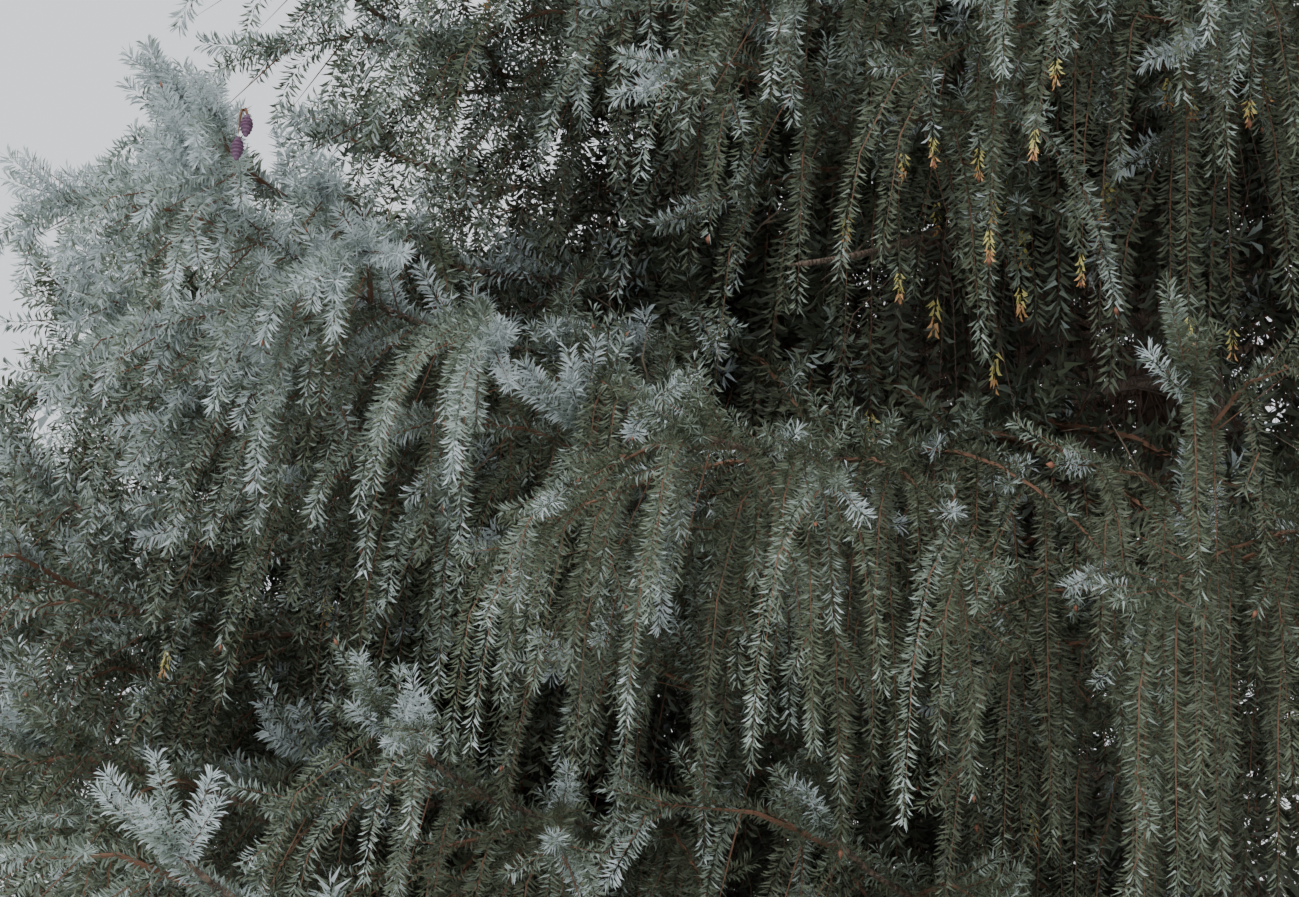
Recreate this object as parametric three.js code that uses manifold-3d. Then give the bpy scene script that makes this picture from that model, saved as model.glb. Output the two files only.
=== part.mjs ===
// A weeping Serbian spruce, rooted in level ground: one trunk, tiers of drooping boughs with
// upturned ends, and a foliage mass at the end of each bough.
// Millimetres and degrees, +Z up. The origin is on the ground, under the middle of the trunk.

import * as THREE from "three";
import { mergeVertices } from "three/addons/utils/BufferGeometryUtils.js";
import Module from "manifold-3d";

const wasm = await Module();
wasm.setup();

// Seed of every scattered size
const SEED = 20809;

// Trunk
const TRUNK_HEIGHT = 7720;
const TRUNK_RADIUS = 92;
const TRUNK_TIP_RADIUS = 11;
const TRUNK_TAPER_POWER = 0.9;
const FLARE_RADIUS = 62;
const FLARE_HEIGHT = 190;
const FLARE_LOBES = 5;
const FLARE_LOBE_DEPTH = 0.34;
const TRUNK_SWAY = 20;
const SWAY_FROM_HEIGHT = 600;
const SWAY_TURNS_X = 2.3;
const SWAY_TURNS_Y = 1.4;
const SWAY_START_Y = 0.5;
const TRUNK_SIDES = 9;
const TRUNK_STEPS = 16;
const TRUNK_STEP_POWER = 1.7;

// Tiers of boughs from the ground up: height on the trunk, how many, azimuth of the first, and
// how far the tips reach from the trunk's axis. The limbed ones have a bare limb of their own.
const TIERS = [
  { height: 1130, count: 4, turn: 262, reach: 1960, lift: 0.24, limbed: false },
  { height: 1600, count: 3, turn: 233, reach: 2120, lift: 0.24, limbed: true },
  { height: 1650, count: 3, turn: 212, reach: 1500, lift: 0.24, limbed: true },
  { height: 1900, count: 5, turn: 257, reach: 1800, lift: 0.28, limbed: true },
  { height: 2010, count: 3, turn: 235, reach: 1640, lift: 0.23, limbed: true },
  { height: 2390, count: 4, turn: 218, reach: 1760, lift: 0.23, limbed: true },
  { height: 2550, count: 4, turn: 258, reach: 1720, lift: 0.23, limbed: false },
  { height: 3170, count: 4, turn: 222, reach: 1540, lift: 0.22, limbed: false },
  { height: 3880, count: 3, turn: 275, reach: 1340, lift: 0.2, limbed: false },
  { height: 4650, count: 3, turn: 215, reach: 1120, lift: 0.2, limbed: false },
  { height: 5500, count: 2, turn: 262, reach: 890, lift: 0.18, limbed: false },
  { height: 6450, count: 2, turn: 172, reach: 640, lift: 0.16, limbed: false },
];
const HEIGHT_SCATTER = 45;
const TURN_SCATTER = 7;
const REACH_SCATTER = 0.06;
const BEND_SCATTER = 0.12;

// A bough's line: it leaves at a slope, sags by the square and lifts at its end by a high power
const LOW_SLOPE = -0.1;
const TOP_SLOPE = 0.62;
const SLOPE_FROM_HEIGHT = 2400;
const SLOPE_TO_HEIGHT = 7000;
const SAG = 0.19;
const LIFT_POWER = 5;

// Limbs and stems
const LIMB_SHARE = 0.4;
const STEM_SHARE = 0.9;
const BOUGH_ROOT_RADIUS_SHARE = 0.0105;
const BOUGH_TIP_RADIUS = 7;
const LIMB_SIDES = 5;
const LIMB_STEPS = 3;
const STEM_SIDES = 3;
const STEM_STEPS = 3;
const SEAT_GAP = 0.3;

// Side twigs
const SIDE_TWIGS = 4;
const SMALL_BOUGH_TWIGS = 3;
const SMALL_BOUGH_REACH = 1000;
const LIMBED_TWIG_START = 0.1;
const TRUNK_TWIG_START = 0.25;
const TWIG_END = 0.88;
const TWIG_LENGTH_SHARE = 0.3;
const WIDE_TWIG_LENGTH_SHARE = 0.48;
const TWIG_SHORTENING = 0.6;
const TWIG_LENGTH_SCATTER = 0.12;
const TWIG_ANGLE = 50;
const TWIG_ANGLE_SCATTER = 6;
const WIDE_TWIG_ANGLE_SHARE = 0.31;
const TWIG_DROOP = 0.16;
const TWIG_ROOT_RADIUS = 9;
const TWIG_TIP_RADIUS = 7;

// Sprays of needles: a toothed blade, given as shares of its length and of its half width from
// the root round the tip and back, with its thick point on the middle line
const SPRAY_OUTLINE = [[0, 0], [0.5, 1], [0.45, 0.42], [1, 0], [0.58, -0.42], [0.63, -1]];
const SPRAY_THICK_POINT = 0.38;
const SPRAY_LENGTH = 480;
const SPRAY_LENGTH_SCATTER = 0.2;
const SPRAY_HALF_WIDTH = 95;
const SPRAY_HALF_THICKNESS = 9;
const SPRAY_ROOT_SINK = 3;
const SPRAY_SIZE_POWER = 0.3;
const SPRAY_SHORTENING = 0.1;
const SPRAY_LEAN = 0.26;
const SPRAY_LEAN_SCATTER = 0.4;
const SPRAY_TURN_SCATTER = 0.9;
const STEM_SPRAYS = [0.4, 0.72];
const TIP_SPRAY_LENGTH = 230;
const TIP_SPRAY_ROOT = 0.985;
const TIP_SPRAY_LIFT = 0.35;
const TIP_SPRAY_TURN_STEP = 0.3;
const TWIG_SPRAY_SHARE = 0.5;
const TWIG_TIP_LENGTH_SHARE = 1.35;
const TWIG_TIP_LIFT = -0.85;

// Clearances between the solids, and how often a spray that touches something is turned anew
const NEIGHBOUR_GAP = 4;
const OWN_GAP = 2;
const TRIES = 5;
const LOWEST_SPRAY = 560;

// Leader above the trunk's tip
const LEADER_TOP = 8800;
const LEADER_ROOT_RADIUS = 10;
const LEADER_SPRAY_STEP = 0.016;
const LEADER_WHORL_TURN = 0.11;
const LEADER_TURN_STEP = 0.025;
const LEADER_SPRAY_HALF_WIDTH = 0.19;
const LEADER_WHORLS = [
  { share: 0.04, count: 4, length: 640, rise: -0.85 },
  { share: 0.34, count: 3, length: 440, rise: -0.3 },
  { share: 0.62, count: 3, length: 300, rise: 0.1 },
  { share: 0.86, count: 3, length: 160, rise: 1.1 },
];

// Steps along a line, as shares of its length, between the points that give its direction, the
// slope past which a line counts as upright, and how close two corners are when they are one
const TANGENT_STEP = 0.001;
const TWIG_GUIDE_STEP = 0.01;
const STEEP = 0.9;
const MERGE_DISTANCE = 0.001;

const UP = new THREE.Vector3(0, 0, 1);
const EAST = new THREE.Vector3(1, 0, 0);

const bark = new THREE.MeshStandardMaterial({ color: 0x6b5344, roughness: 0.92, metalness: 0 });
const foliage = new THREE.MeshStandardMaterial({ color: 0x56695c, roughness: 0.75, metalness: 0 });

function radians(degrees) {
  return THREE.MathUtils.degToRad(degrees);
}

// A number from 0 to 1 that depends only on the seed and the keys
function seeded(...keys) {
  let state = SEED;
  for (const key of keys) {
    state = Math.imul(state ^ (key + 1), 0x9e3779b1) >>> 0;
    state = (state ^ (state >>> 15)) >>> 0;
  }
  state = Math.imul(state, 0x85ebca6b) >>> 0;
  return ((state ^ (state >>> 13)) >>> 0) / 4294967296;
}

function signed(...keys) {
  return 2 * seeded(...keys) - 1;
}

// The trunk's axis and radius at a height
function trunkAxis(height) {
  const turn = (height / TRUNK_HEIGHT) * Math.PI;
  const sway = TRUNK_SWAY * Math.min(height / SWAY_FROM_HEIGHT, 1);
  const x = sway * Math.sin(SWAY_TURNS_X * turn);
  const y = sway * Math.sin(SWAY_TURNS_Y * turn + SWAY_START_Y);
  return new THREE.Vector3(x, y, height);
}

function trunkRadius(height, angle) {
  const share = Math.max(1 - height / TRUNK_HEIGHT, 0);
  const taper = TRUNK_TIP_RADIUS + (TRUNK_RADIUS - TRUNK_TIP_RADIUS) * share ** TRUNK_TAPER_POWER;
  const lobes = 1 + FLARE_LOBE_DEPTH * Math.cos(FLARE_LOBES * angle);
  return taper + FLARE_RADIUS * lobes * Math.exp(-height / FLARE_HEIGHT);
}

// The line of a bough at a share of its length, from the trunk's axis to its tip
function boughPoint(bough, share) {
  const out = bough.reach * share;
  const turn = radians(bough.azimuth) + bough.bend * share * share;
  const climb = bough.slope * share - SAG * share ** 2 + bough.lift * share ** LIFT_POWER;
  const foot = trunkAxis(bough.height);
  foot.x += out * Math.cos(turn);
  foot.y += out * Math.sin(turn);
  foot.z += bough.reach * climb;
  return foot;
}

function boughRadius(bough, share) {
  const root = BOUGH_ROOT_RADIUS_SHARE * bough.reach;
  return BOUGH_TIP_RADIUS + (root - BOUGH_TIP_RADIUS) * (1 - share);
}

function boughsOfTier(tier, row) {
  return Array.from({ length: tier.count }, (_, place) => {
    const climb = (tier.height - SLOPE_FROM_HEIGHT) / (SLOPE_TO_HEIGHT - SLOPE_FROM_HEIGHT);
    const scatter = place === 0 ? 0 : 1;
    return {
      row,
      place,
      limbed: tier.limbed,
      sector: 360 / tier.count,
      height: tier.height + scatter * HEIGHT_SCATTER * signed(row, place, 1),
      azimuth: tier.turn + (place * 360) / tier.count + scatter * TURN_SCATTER * signed(row, place, 2),
      reach: tier.reach * (1 + scatter * REACH_SCATTER * signed(row, place, 3)),
      bend: scatter * BEND_SCATTER * signed(row, place, 4),
      slope: THREE.MathUtils.lerp(LOW_SLOPE, TOP_SLOPE, THREE.MathUtils.clamp(climb, 0, 1)),
      lift: tier.lift,
    };
  });
}

// The closed solid of a geometry, with its shared vertices merged
function solidOf(geometry) {
  geometry.deleteAttribute("normal");
  geometry.deleteAttribute("uv");
  const merged = mergeVertices(geometry, MERGE_DISTANCE);
  const vertProperties = new Float32Array(merged.attributes.position.array);
  const triVerts = new Uint32Array(merged.index.array);
  return new wasm.Manifold(new wasm.Mesh({ numProp: 3, vertProperties, triVerts }));
}

// A line made of straight steps between the points of a curve
function inSteps(pointAt, steps) {
  return (share) => {
    const place = THREE.MathUtils.clamp(share * steps, 0, steps);
    const step = Math.min(Math.floor(place), steps - 1);
    return pointAt(step / steps).lerp(pointAt((step + 1) / steps), place - step);
  };
}

function frameAt(pointAt, share) {
  const before = pointAt(Math.max(share - TANGENT_STEP, 0));
  const after = pointAt(Math.min(share + TANGENT_STEP, 1));
  const along = after.sub(before).normalize();
  const guide = Math.abs(along.z) > STEEP ? EAST : UP;
  const side = new THREE.Vector3().crossVectors(along, guide).normalize();
  const across = new THREE.Vector3().crossVectors(side, along);
  return { centre: pointAt(share), side, across };
}

// A limb with flat ends along a line, its radius given by the share of its length and the angle
function limbSolid(pointAt, radiusAt, sides, steps) {
  const geometry = new THREE.CylinderGeometry(1, 1, 1, sides, steps);
  const position = geometry.attributes.position;
  for (let i = 0; i < position.count; i += 1) {
    const share = position.getY(i) + 0.5;
    const angle = Math.atan2(position.getZ(i), position.getX(i));
    const radius = Math.hypot(position.getX(i), position.getZ(i)) * radiusAt(share, angle);
    const { centre, side, across } = frameAt(pointAt, share);
    centre.addScaledVector(side, radius * Math.cos(angle));
    centre.addScaledVector(across, radius * Math.sin(angle));
    position.setXYZ(i, centre.x, centre.y, centre.z);
  }
  return solidOf(geometry);
}

function trunkSolid(extra) {
  const heightAt = (share) => TRUNK_HEIGHT * share ** TRUNK_STEP_POWER;
  const pointAt = (share) => trunkAxis(heightAt(share));
  const radiusAt = (share, angle) => trunkRadius(heightAt(share), angle) + extra;
  const geometry = new THREE.CylinderGeometry(1, 1, 1, TRUNK_SIDES, TRUNK_STEPS);
  const position = geometry.attributes.position;
  for (let i = 0; i < position.count; i += 1) {
    const share = position.getY(i) + 0.5;
    const angle = Math.atan2(position.getX(i), position.getZ(i));
    const radius = Math.hypot(position.getX(i), position.getZ(i)) * radiusAt(share, angle);
    const centre = pointAt(share);
    position.setXYZ(i, centre.x + radius * Math.sin(angle), centre.y - radius * Math.cos(angle), centre.z);
  }
  return solidOf(geometry);
}

// The blade of a spray, from its root along one direction, turned about it
function spraySolid(root, along, turn, length, halfWidth) {
  const guide = Math.abs(along.z) > STEEP ? EAST : UP;
  const side = new THREE.Vector3().crossVectors(along, guide).normalize().applyAxisAngle(along, turn);
  const across = new THREE.Vector3().crossVectors(side, along);
  const corners = SPRAY_OUTLINE.length;
  const geometry = new THREE.SphereGeometry(1, corners, 2);
  const position = geometry.attributes.position;
  const ring = corners + 1;
  for (let i = 0; i < position.count; i += 1) {
    const row = Math.floor(i / ring);
    const [share, width] = row === 1 ? SPRAY_OUTLINE[(i % ring) % corners] : [SPRAY_THICK_POINT, 0];
    const point = root.clone();
    point.addScaledVector(along, length * share - SPRAY_ROOT_SINK);
    point.addScaledVector(side, halfWidth * width);
    point.addScaledVector(across, SPRAY_HALF_THICKNESS * (1 - row));
    position.setXYZ(i, point.x, point.y, point.z);
  }
  return solidOf(geometry);
}

function boxed(solid, owner) {
  const { min, max } = solid.boundingBox();
  return { solid, min, max, owner };
}

function boxesWithin(a, b, gap) {
  return [0, 1, 2].every((axis) => a.min[axis] - gap < b.max[axis] && b.min[axis] - gap < a.max[axis]);
}

function near(a, b, gap) {
  return boxesWithin(a, b, gap) && a.solid.minGap(b.solid, gap) < gap;
}

// Whether a piece comes near anything but the piece that it grows from
function touchesAny(piece, placed, parent) {
  return placed.some((other) => {
    const gap = other.owner === piece.owner ? OWN_GAP : NEIGHBOUR_GAP;
    return other !== parent && near(piece, other, gap);
  });
}

// A growing mass: its owner's name and the pieces placed so far
function tryToPlace(mass, placed, parent, makeSolid) {
  for (let attempt = 0; attempt < TRIES; attempt += 1) {
    const piece = boxed(makeSolid(attempt), mass.name);
    if (piece.min[2] > LOWEST_SPRAY && !touchesAny(piece, placed, parent)) {
      placed.push(piece);
      mass.pieces.push(piece);
      return piece;
    }
  }
  return null;
}

// The stem of a mass, which carries on its bough's line: the stem's own line and its solid
function stemOf(bough) {
  const start = bough.limbed ? LIMB_SHARE + SEAT_GAP / bough.reach : 0;
  const shareAt = (share) => start + (STEM_SHARE - start) * share;
  const curve = (share) => boughPoint(bough, shareAt(share));
  const radiusAt = (share) => boughRadius(bough, shareAt(share));
  return {
    pointAt: inSteps(curve, STEM_STEPS),
    solid: limbSolid(curve, radiusAt, STEM_SIDES, STEM_STEPS),
  };
}

// The line of a side twig that leaves a stem at a share of the stem's length
function twigLine(bough, stemPointAt, share, sideSign, keys) {
  const from = stemPointAt(share);
  const ahead = stemPointAt(share + TWIG_GUIDE_STEP).sub(from).normalize();
  const angle = Math.max(TWIG_ANGLE, bough.limbed ? 0 : bough.sector * WIDE_TWIG_ANGLE_SHARE);
  const lengthShare = bough.limbed ? TWIG_LENGTH_SHARE : WIDE_TWIG_LENGTH_SHARE;
  const turn = sideSign * radians(angle + TWIG_ANGLE_SCATTER * signed(...keys, 1));
  const along = ahead.applyAxisAngle(UP, turn).addScaledVector(UP, -TWIG_DROOP);
  const scatter = 1 + TWIG_LENGTH_SCATTER * signed(...keys, 2);
  const length = bough.reach * lengthShare * (1 - TWIG_SHORTENING * share) * scatter;
  return (part) => from.clone().addScaledVector(along, length * part);
}

function twigRadius(share) {
  return TWIG_ROOT_RADIUS + (TWIG_TIP_RADIUS - TWIG_ROOT_RADIUS) * share;
}

// A hanging direction that leans away from the trunk, a little different at each attempt
function hangingDirection(point, keys, attempt) {
  const outward = new THREE.Vector3(point.x, point.y, 0).normalize();
  const turn = SPRAY_TURN_SCATTER * signed(...keys, 3, attempt);
  const lean = SPRAY_LEAN * (1 + SPRAY_LEAN_SCATTER * signed(...keys, 4, attempt));
  return outward.applyAxisAngle(UP, turn).multiplyScalar(lean).sub(UP).normalize();
}

function sprayLength(bough, keys, attempt) {
  const size = (bough.reach / TIERS[0].reach) ** SPRAY_SIZE_POWER;
  const scatter = 1 + SPRAY_LENGTH_SCATTER * signed(...keys, 5);
  return SPRAY_LENGTH * size * scatter * (1 - SPRAY_SHORTENING * attempt);
}

function hangSpray(mass, placed, parent, point, keys) {
  tryToPlace(mass, placed, parent, (attempt) => {
    const along = hangingDirection(point, keys, attempt);
    const turn = Math.PI * seeded(...keys, 6, attempt);
    return spraySolid(point, along, turn, sprayLength(mass.bough, keys, attempt), SPRAY_HALF_WIDTH);
  });
}

function tipSpray(mass, placed, parent, pointAt, rise, length) {
  const root = pointAt(TIP_SPRAY_ROOT);
  const outward = pointAt(1).sub(root).normalize();
  tryToPlace(mass, placed, parent, (attempt) => {
    const turn = TIP_SPRAY_TURN_STEP * attempt;
    const along = outward.clone().addScaledVector(UP, rise * (1 + turn)).normalize();
    return spraySolid(root, along, turn, length * (1 - SPRAY_SHORTENING * attempt), SPRAY_HALF_WIDTH);
  });
}

// Side twigs, alternately to the left and the right of the stem, each with two sprays
function growTwigs(mass, placed) {
  const { bough, stem, stemPointAt } = mass;
  const start = bough.limbed ? LIMBED_TWIG_START : TRUNK_TWIG_START;
  const count = bough.reach > SMALL_BOUGH_REACH ? SIDE_TWIGS : SMALL_BOUGH_TWIGS;
  for (let k = 0; k < count; k += 1) {
    const keys = [bough.row, bough.place, 10 + k];
    const share = start + ((TWIG_END - start) * k) / (count - 1);
    const pointAt = twigLine(bough, stemPointAt, share, k % 2 ? -1 : 1, keys);
    const makeTwig = () => limbSolid(pointAt, twigRadius, STEM_SIDES, 1);
    const twig = tryToPlace(mass, placed, stem, makeTwig);
    if (twig) {
      mass.twigs.push({ twig, pointAt, keys });
    }
  }
}

function growTipSprays(mass, placed) {
  const length = TIP_SPRAY_LENGTH * (mass.bough.reach / TIERS[0].reach) ** SPRAY_SIZE_POWER;
  tipSpray(mass, placed, mass.stem, mass.stemPointAt, TIP_SPRAY_LIFT, length);
  for (const { twig, pointAt } of mass.twigs) {
    tipSpray(mass, placed, twig, pointAt, TWIG_TIP_LIFT, length * TWIG_TIP_LENGTH_SHARE);
  }
}

function growHangingSprays(mass, placed) {
  const { bough } = mass;
  for (const { twig, pointAt, keys } of mass.twigs.slice(0, -1)) {
    hangSpray(mass, placed, twig, pointAt(TWIG_SPRAY_SHARE), keys);
  }
  STEM_SPRAYS.forEach((share, k) => {
    hangSpray(mass, placed, mass.stem, mass.stemPointAt(share), [bough.row, bough.place, 30 + k]);
  });
}

// The leader's mass: a stem on the trunk's tip with three whorls of sprays
function leaderMass(placed) {
  const foot = trunkAxis(TRUNK_HEIGHT);
  const pointAt = (share) => {
    const height = THREE.MathUtils.lerp(TRUNK_HEIGHT + SEAT_GAP, LEADER_TOP, share);
    return new THREE.Vector3(foot.x, foot.y, height);
  };
  const radiusAt = (share) => THREE.MathUtils.lerp(LEADER_ROOT_RADIUS, BOUGH_TIP_RADIUS, share);
  const name = "foliage_top";
  const stem = boxed(limbSolid(pointAt, radiusAt, STEM_SIDES, 1), name);
  const mass = { name, pieces: [stem] };
  placed.push(stem);
  LEADER_WHORLS.forEach((whorl, row) => {
    for (let k = 0; k < whorl.count; k += 1) {
      tryToPlace(mass, placed, stem, (attempt) => {
        const part = k / whorl.count + LEADER_WHORL_TURN * row + LEADER_TURN_STEP * attempt;
        const turn = 2 * Math.PI * part;
        const along = new THREE.Vector3(Math.cos(turn), Math.sin(turn), whorl.rise).normalize();
        const root = pointAt(whorl.share + k * LEADER_SPRAY_STEP);
        return spraySolid(root, along, 0, whorl.length, whorl.length * LEADER_SPRAY_HALF_WIDTH);
      });
    }
  });
  return mass;
}

// The largest body of a solid, without loose scraps and shells of sealed hollows
function mainBody(solid) {
  const bodies = solid.decompose();
  bodies.sort((a, b) => b.volume() - a.volume());
  return bodies[0];
}

function fused(mass) {
  return mainBody(wasm.Manifold.union(mass.pieces.map(({ solid }) => solid)));
}

function meshOf(name, solid, material) {
  const { vertProperties, triVerts } = solid.getMesh();
  const geometry = new THREE.BufferGeometry();
  geometry.setAttribute("position", new THREE.BufferAttribute(new Float32Array(vertProperties), 3));
  geometry.setIndex(new THREE.BufferAttribute(new Uint32Array(triVerts), 1));
  geometry.computeVertexNormals();
  const mesh = new THREE.Mesh(geometry, material);
  mesh.name = name;
  return mesh;
}

function nameOf(kind, bough) {
  return `${kind}_${bough.row + 1}${"abcde"[bough.place]}`;
}

function boughLimb(bough, trunkClear) {
  const pointAt = (share) => boughPoint(bough, LIMB_SHARE * share);
  const radiusAt = (share) => boughRadius(bough, LIMB_SHARE * share);
  return mainBody(limbSolid(pointAt, radiusAt, LIMB_SIDES, LIMB_STEPS).subtract(trunkClear));
}

function newMass(bough, trunkClear) {
  const name = nameOf("foliage", bough);
  const { pointAt, solid } = stemOf(bough);
  const stem = boxed(bough.limbed ? solid : mainBody(solid.subtract(trunkClear)), name);
  return { name, bough, stem, stemPointAt: pointAt, pieces: [stem], twigs: [] };
}

function buildTree() {
  const trunk = trunkSolid(0);
  const trunkClear = trunkSolid(SEAT_GAP / Math.cos(Math.PI / TRUNK_SIDES));
  const boughs = TIERS.flatMap((tier, row) => boughsOfTier(tier, row));
  const limbs = boughs.filter(({ limbed }) => limbed)
    .map((bough) => boxed(boughLimb(bough, trunkClear), nameOf("bough", bough)));
  const masses = boughs.map((bough) => newMass(bough, trunkClear));
  const placed = [boxed(trunk, "trunk"), ...limbs, ...masses.map(({ stem }) => stem)];
  masses.forEach((mass) => growTwigs(mass, placed));
  masses.forEach((mass) => growTipSprays(mass, placed));
  const top = leaderMass(placed);
  masses.forEach((mass) => growHangingSprays(mass, placed));

  const tree = new THREE.Group();
  tree.add(meshOf("trunk", trunk, bark));
  limbs.forEach(({ owner, solid }) => tree.add(meshOf(owner, solid, bark)));
  [...masses, top].forEach((mass) => tree.add(meshOf(mass.name, fused(mass), foliage)));
  return tree;
}

export default buildTree();
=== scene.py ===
"""A weeping Serbian spruce: barked trunk and boughs, needled shoots by the hundred thousand, young cones
and dead inner twigs, grown by one seeded rule from the trunk out. Lengths are in metres, +Z is up."""
import functools
import math
from collections import namedtuple

import bpy
import numpy as np
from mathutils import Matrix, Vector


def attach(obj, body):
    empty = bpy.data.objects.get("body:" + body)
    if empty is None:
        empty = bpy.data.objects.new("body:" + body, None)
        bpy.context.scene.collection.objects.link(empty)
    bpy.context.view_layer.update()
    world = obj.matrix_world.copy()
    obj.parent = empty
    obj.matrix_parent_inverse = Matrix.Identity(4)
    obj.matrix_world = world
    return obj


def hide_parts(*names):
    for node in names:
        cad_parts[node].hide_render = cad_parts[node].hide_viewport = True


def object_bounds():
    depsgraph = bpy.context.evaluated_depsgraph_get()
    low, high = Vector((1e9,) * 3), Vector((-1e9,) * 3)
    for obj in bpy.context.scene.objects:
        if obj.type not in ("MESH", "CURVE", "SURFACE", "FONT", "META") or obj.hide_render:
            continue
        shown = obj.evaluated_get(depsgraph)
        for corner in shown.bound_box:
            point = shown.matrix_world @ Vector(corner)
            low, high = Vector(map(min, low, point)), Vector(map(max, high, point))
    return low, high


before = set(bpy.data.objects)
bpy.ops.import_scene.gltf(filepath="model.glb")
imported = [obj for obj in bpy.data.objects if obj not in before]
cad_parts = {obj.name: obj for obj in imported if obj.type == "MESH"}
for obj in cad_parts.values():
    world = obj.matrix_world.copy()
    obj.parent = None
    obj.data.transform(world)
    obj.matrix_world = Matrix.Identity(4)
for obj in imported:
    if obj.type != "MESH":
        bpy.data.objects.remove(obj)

bl_info = {
    "name": "Weeping Serbian spruce",
    "version": (1, 0, 0),
    "blender": (4, 5, 0),
    "location": "3D View > Sidebar > Spruce",
    "description": "Grows a weeping Serbian spruce round its packed trunk and boughs",
    "category": "Add Mesh",
}

CAD_BOX = [list(corner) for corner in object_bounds()]

# Seed of every scattered size, the same as the solids'
SEED = 20809

# Tiers of main boughs: height on the trunk, how many, azimuth of the first in degrees, reach of
# the tips from the trunk's axis, lift of the ends, whether a bare limb carries the foliage, and how
# much blue-white bloom the first bough's outer shoots have and how crowded they are
Tier = namedtuple("Tier", "height count turn reach lift limbed bloom crowding")
TIERS = (
    Tier(1.13, 4, 262, 1.96, 0.24, False, 0.7, 1.0),
    Tier(1.60, 3, 233, 2.12, 0.24, True, 1.0, 0.95),
    Tier(1.65, 3, 212, 1.50, 0.24, True, 0.8, 1.4),
    # Its low bloom is partly the bough's own olive colour and partly painted shade, as it grows under the
    # first bough of the seventh tier
    Tier(1.90, 5, 257, 1.80, 0.28, True, 0.1, 1.2),
    Tier(2.01, 3, 235, 1.64, 0.23, True, 0.85, 1.6),
    Tier(2.39, 4, 218, 1.76, 0.23, True, 1.3, 2.0),
    Tier(2.55, 4, 258, 1.72, 0.23, False, 0.85, 1.4),
    Tier(3.17, 4, 222, 1.54, 0.22, False, 0.8, 1.0),
    Tier(3.88, 3, 275, 1.34, 0.20, False, 0.7, 1.0),
    Tier(4.65, 3, 215, 1.12, 0.20, False, 0.7, 1.0),
    Tier(5.50, 2, 262, 0.89, 0.18, False, 0.7, 1.0),
    Tier(6.45, 2, 172, 0.64, 0.16, False, 0.7, 1.0),
)
HEIGHT_SCATTER = 0.045
TURN_SCATTER = 7.0
REACH_SCATTER = 0.06
BEND_SCATTER = 0.12
LOW_SLOPE = -0.1
TOP_SLOPE = 0.62
SLOPE_HEIGHTS = (2.4, 7.0)
SAG = 0.19
LIFT_POWER = 5
BARE_SHARES = ((2.3, 0.46), (2.9, 0.22), (4.0, 0.06))
SLEEVE_SHARES = ((2.3, 0.48), (2.9, 0.28), (4.0, 0.1))
BOUGH_ROOT_RADIUS_SHARE = 0.0105
BOUGH_TIP_RADIUS = 0.003
BOUGH_TAPER_POWER = 1.35

# Bloom of a tier's other boughs: its middle and its scatter
BLOOM_MIDDLE, BLOOM_SCATTER = 0.75, 0.25

# Where along a bough its spacings are worked out, and the step that its direction is taken over
BOUGH_MIDDLE = 0.75
TANGENT_STEP = 0.004

# Boughs longer than a reach have more rings and sides than others; knots, up to a share of the length
LONG_BOUGH = 1.2
LONG_RINGS, LONG_SIDES = 34, 10
SHORT_RINGS, SHORT_SIDES = 16, 6
KNOT_HEIGHT, KNOTTED_SHARE = 0.10, 0.8

# Leader: radius at its foot, how much that shrinks up to its top, rings and sides
LEADER_RADIUS, LEADER_TAPER = 0.010, 0.007
LEADER_RINGS, LEADER_SIDES = 8, 6

# Trunk
TRUNK_HEIGHT = 7.72
LEADER_TOP = 8.8
TRUNK_RADIUS = 0.092
TRUNK_TIP_RADIUS = 0.011
TRUNK_TAPER_POWER = 0.9
FLARE_RADIUS = 0.062
FLARE_HEIGHT = 0.19
FLARE_LOBES = 5
FLARE_LOBE_DEPTH = 0.34
TRUNK_SWAY = 0.02

# Height over which the sway fades in, its turns up the trunk in x and y, and the phase of the second
SWAY_FADE = 0.6
SWAY_TURNS = (2.3, 1.4)
SWAY_PHASE = 0.5

# Points of the trunk's grid round and up it, how much closer they stand at the foot, and the height of the
# point that closes its top
TRUNK_AROUND, TRUNK_UP = 72, 460
TRUNK_CROWDING = 1.25
TRUNK_POINT = 0.004

# Bark relief: cells up and round of its ridges, plates and flakes, the share of each, its middle, the twist
# of the ridges, and the whole relief as a share of the radius
RIDGE_CELLS, PLATE_CELLS, FLAKE_CELLS = (60, 15), (330, 34), (460, 60)
RIDGE_SHARE, PLATE_SHARE, FLAKE_SHARE, RELIEF_MIDDLE = 0.35, 0.4, 0.25, 0.75
RIDGE_TWIST = 0.6
BARK_RELIEF = 0.075

# Lesser boughs between the main ones: the crown's outline as (height, reach), their share of
# that reach, and their spacing up the trunk as (height, spacing)
CROWN_OUTLINE = ((0.9, 1.75), (1.13, 1.92), (1.6, 1.92), (2.2, 1.84), (2.45, 1.62), (2.78, 1.6), (3.2, 1.5),
                 (3.9, 1.31), (4.7, 1.11), (5.5, 0.88), (6.45, 0.64), (7.2, 0.44), (7.8, 0.26), (8.3, 0.13),
                 (8.68, 0.06))
LESSER_REACH = (0.8, 1.0)
LESSER_SPACING = ((0.9, 0.08), (1.2, 0.06), (2.75, 0.052), (4.0, 0.042), (8.7, 0.038))
GOLDEN_TURN = math.pi * (3 - math.sqrt(5))

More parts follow.
